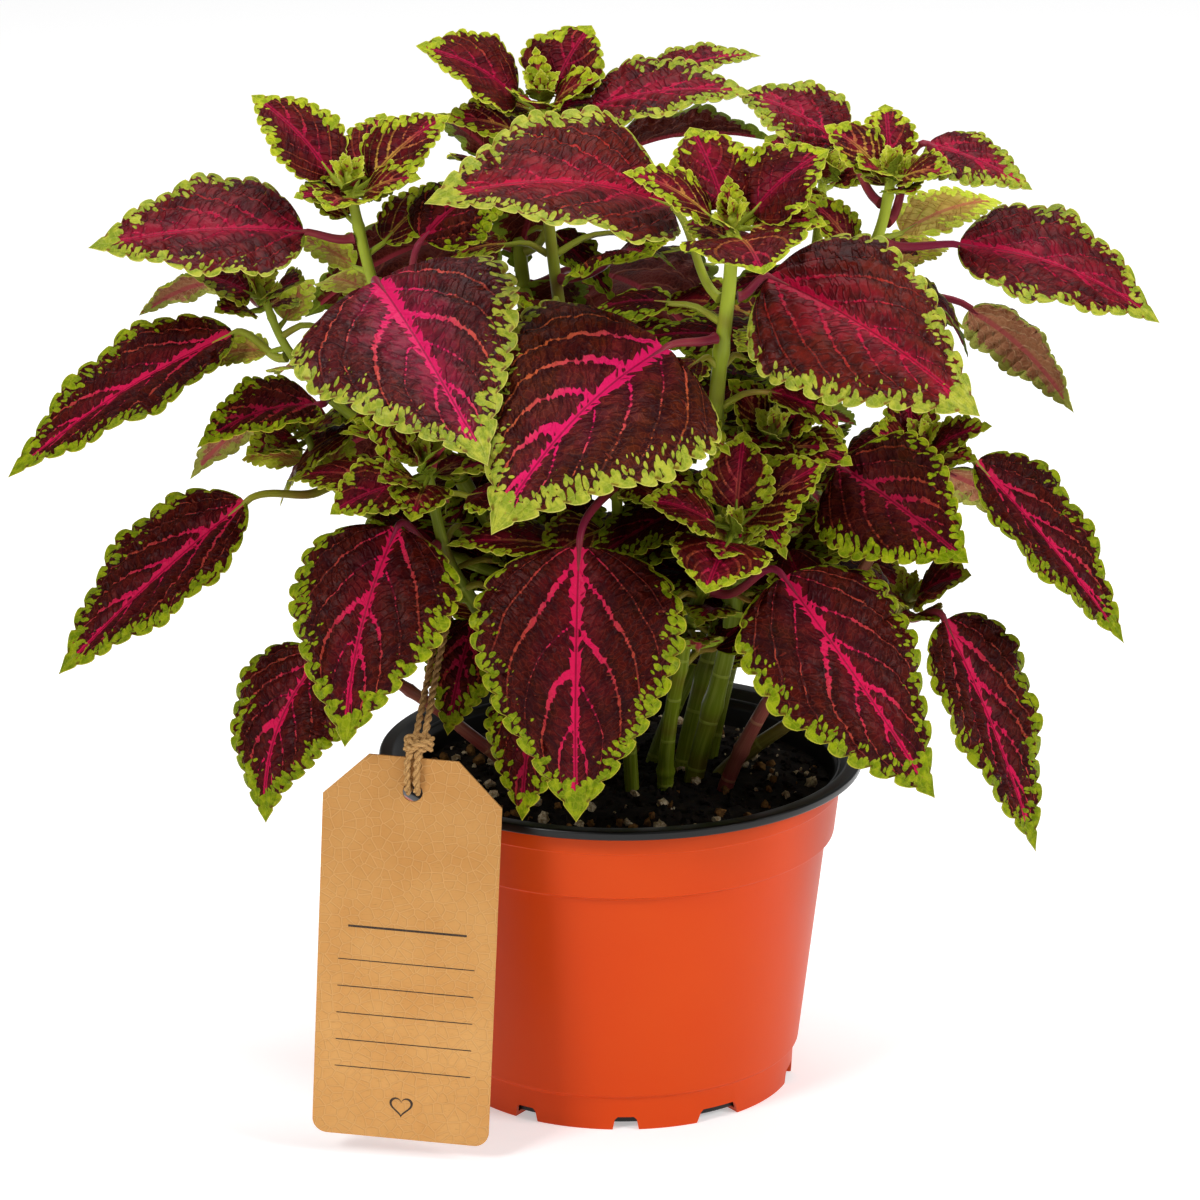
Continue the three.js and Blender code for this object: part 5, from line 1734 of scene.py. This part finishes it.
@dataclass(frozen=True)
class Twine:
    """Jute twine: a loop over the twig that carries the tag, a knot, and two turns through the tag's hole."""

    tag: TagPlace = TagPlace()
    radius: float = 1.25
    ply: float = 0.58  # a ply's radius over the strand's
    ply_off: float = 0.48  # and its middle's distance from the strand's
    lay: float = 6.5  # one twist of the two plies
    knot_at: Triple = (1.5, 0.0, 5.0)
    legs: float = 3.0
    turns: tuple[float, ...] = (-1.5, 1.5)
    wraps: float = 2.6  # the turns round the legs, in the knot
    wrap: Triple = (3.9, 2.2, 2.1)  # their half width, half depth and half height
    over: tuple[Triple, ...] = ((-4.2, -0.6, -1.6), (-1.5, -3.3, 0.0), (1.8, -3.2, 1.4), (4.4, -0.4, 1.2))

    def strand(self, body: Builder, path: Array, seed: float) -> None:
        """Adds two plies twisted about a path."""
        run = run_along(path)
        first, second = frames(path, unit(vec((1.0, 0.3, 0.2))))
        for ply in (0, 1):
            angle = 2 * math.pi * (run / self.lay + ply / 2)
            out = first * np.cos(angle)[:, None] + second * np.sin(angle)[:, None]
            line = path + self.ply_off * self.radius * out
            fuzz = 1 + 0.06 * np.sin(run * 2.1 + seed) + 0.04 * np.sin(run * 5.3 + 2 * seed + ply)
            body.tube(line, self.ply * self.radius * fuzz, 8, first[0], seed + 4 * ply, 0, field="yarn_place")

    def loop_path(self) -> Array:
        """The loop's line, from the knot over the twig and back."""
        twig = SHOOTS["front_left"].branches[0]
        line = Line(twig.path)
        held, (knot, here, there) = line.at(0.5), self.tag.on(self.knot_at, (0, 0, 0), (1, 0, 0))
        drop = size_of(knot - held)
        down = (knot - held) / drop
        aside = unit(np.cross(line.tangent(0.5), down))
        reach = twig.radius_at(0.5) * NODE_SWELL + self.radius + 0.3
        half = self.legs / 2
        beside = (there - here) * np.sign((there - here) @ aside)
        between = unit(aside + beside)
        stops = (
            (drop, beside, half), (drop / 2, between, half), (0, aside, reach), (-reach, aside, 0),
            (0, aside, -reach), (drop / 2, between, -half), (drop, beside, -half),
        )
        return Line([held + down * fall + way * across for fall, way, across in stops]).along(150)

    def build(self, fibre: Material) -> None:
        """Makes the loop, and the knot with the turns as a piece on it, of the jute's material."""
        path = self.loop_path()
        loop = Builder("yarn_place")
        self.strand(loop, path, 1.0)
        cord = dress(loop.make("twine_loop", [fibre], LEAF_SHARP), ["twine"])
        knot = Builder("yarn_place")
        x0, _, z0 = self.knot_at
        wide, deep, rise = self.wrap
        theta = np.linspace(0, 2 * math.pi * self.wraps, 90)
        fall = z0 + rise - 2 * rise * theta / theta[-1]
        wraps = [(x0 + wide * math.cos(a), deep * math.sin(a), z) for a, z in zip(theta, fall)]
        self.strand(knot, self.tag.on(*wraps), 2.0)
        over = [(x0 + x, y, z0 + z) for x, y, z in self.over]
        self.strand(knot, Line(self.tag.on(*over)).along(24), 3.0)
        off = self.tag.thickness / 2 + self.radius + 0.3
        low = self.tag.hole_drop
        half = self.legs / 2
        for number, x in enumerate(self.turns):
            stops = [
                (x0 + x / 2, -half, z0), (x, -off, 0.8), (x, -off, 2.6 - low), (x, 0, -low),
                (x, off, 2.6 - low), (x, off, 0.8), (x0 + x / 2, half, z0),
            ]
            self.strand(knot, Line(self.tag.on(*stops)).along(90), 5.0 + number)
        tied = dress(knot.make("twine_knot", [fibre], LEAF_SHARP))


@dataclass(frozen=True)
class TagPrint:
    """What is printed on the tag: a rule, blank writing lines and a small plain heart."""

    tag: TagPlace = TagPlace()
    lift: float = 0.06
    sunk: float = 0.02
    rule: Triple = (20.0, -61.0, 0.38)  # half its length, its height and half its thickness
    line: Triple = (23.0, -73.0, 0.16)  # the same of the first writing line
    lines: int = 5
    line_pitch: float = 9.6
    heart: Pair = (0.25, -124.0)  # its scale and its height

    def bar(self, body: Builder, half: float, z: float, thick: float) -> None:
        """Adds a flat bar across the tag."""
        front = -self.tag.thickness / 2
        low, high = front - self.lift, front + self.sunk
        corners = ((low, -thick), (low, thick), (high, thick), (high, -thick))
        body.rings(np.array([self.tag.on(*[(x, y, z + dz) for y, dz in corners]) for x in (-half, half)]))

    def build(self) -> None:
        """Makes the print."""
        body = Builder()
        self.bar(body, *self.rule)
        half, first, thick = self.line
        for row in range(self.lines):
            self.bar(body, half, first - self.line_pitch * row, thick)
        front, (scale, drop) = -self.tag.thickness / 2, self.heart
        low, high = front - self.lift, front + self.sunk
        outline = []
        for t in np.linspace(0, 2 * math.pi, 48, endpoint=False):
            x = scale * 16 * math.sin(t) ** 3
            z = scale * (13 * math.cos(t) - 5 * math.cos(2 * t) - 2 * math.cos(3 * t) - math.cos(4 * t))
            section = ((1.0, low), (0.8, low), (0.8, high), (1.0, high))
            outline.append(self.tag.on(*[(x * s, y, z * s + drop) for s, y in section]))
        body.rings(np.array(outline), closed=True)
        ink = Net("tag_ink")
        colour = ink.lay("2b1d12", ("463222", ink.noise(ink.place(), 1500.0, 2), 0.4, 0.7))
        dress(body.make("tag_print", [ink.finish(colour, 0.8)]))


# ---- Studio ----
@dataclass(frozen=True)
class Studio:
    """The camera, the soft lights and the pale floor."""

    camera_at: Triple = (-0.0072, -2.185, 0.880)
    pitch: float = 18.0
    lens: float = 202.5
    sensor: float = 36.0
    aim: Triple = (0.0, 0.0, 0.17)  # what the lamps look at
    lamps: tuple[tuple[str, Triple, float, float], ...] = (  # each one's place, size in metres and watts
        ("key", (-1.3, -1.4, 1.5), 0.6, 24.0), ("fill", (1.8, -1.0, 1.3), 0.8, 28.0),
        ("top", (0.1, 0.3, 2.0), 1.6, 26.0),
    )
    sky: float = 0.27  # the white world's strength
    floor: tuple[Triple, ...] = ((-6, -4, 0), (6, -4, 0), (6, 8, 0), (-6, 8, 0))
    floor_glow: float = 0.4

    def camera(self) -> None:
        """Makes the camera."""
        data = bpy.data.cameras.new("camera")
        data.lens, data.sensor_width = self.lens, self.sensor
        data.clip_start, data.clip_end = 0.05, 50.0
        made = link("camera", data)
        made.location = self.camera_at
        made.rotation_euler = (math.radians(90 - self.pitch), 0, 0)
        bpy.context.scene.camera = made

    def lights(self) -> None:
        """Makes the soft square lamps, the white world and the floor."""
        for name, at, size, watts in self.lamps:
            data = bpy.data.lights.new(name, "AREA")
            data.shape, data.size, data.energy = "SQUARE", size, watts
            made = link(name, data)
            made.location = at
            made.rotation_euler = (Vector(self.aim) - Vector(at)).to_track_quat("-Z", "Y").to_euler()
        world = bpy.data.worlds.new("studio")
        world.use_nodes = True
        colour, strength = world.node_tree.nodes["Background"].inputs[:2]
        colour.default_value, strength.default_value = WHITE, self.sky
        bpy.context.scene.world = world
        bpy.context.scene.view_settings.view_transform = "Standard"
        mesh = bpy.data.meshes.new("floor")
        mesh.from_pydata(self.floor, [], [(0, 1, 2, 3)])
        glow = {"Emission_Color": WHITE, "Emission_Strength": self.floor_glow}
        mesh.materials.append(Net("floor").finish((0.85, 0.85, 0.85, 1.0), 0.9, None, 0.1, **glow))
        floor = link("floor", mesh)


def main() -> None:
    """Builds everything in order."""
    logging.basicConfig(level=logging.INFO, format="%(message)s")
    studio = Studio()
    studio.camera()
    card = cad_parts["tag"].data.materials
    card.clear()
    card.append(KraftFinish().material("kraft_card"))
    Twine().build(JuteFinish().material("jute"))
    for piece in (TagPrint(), PotShell(), PotLiner(), Soil(), Plant()):
        piece.build()
    studio.lights()


if __name__ == "__main__":
    main()
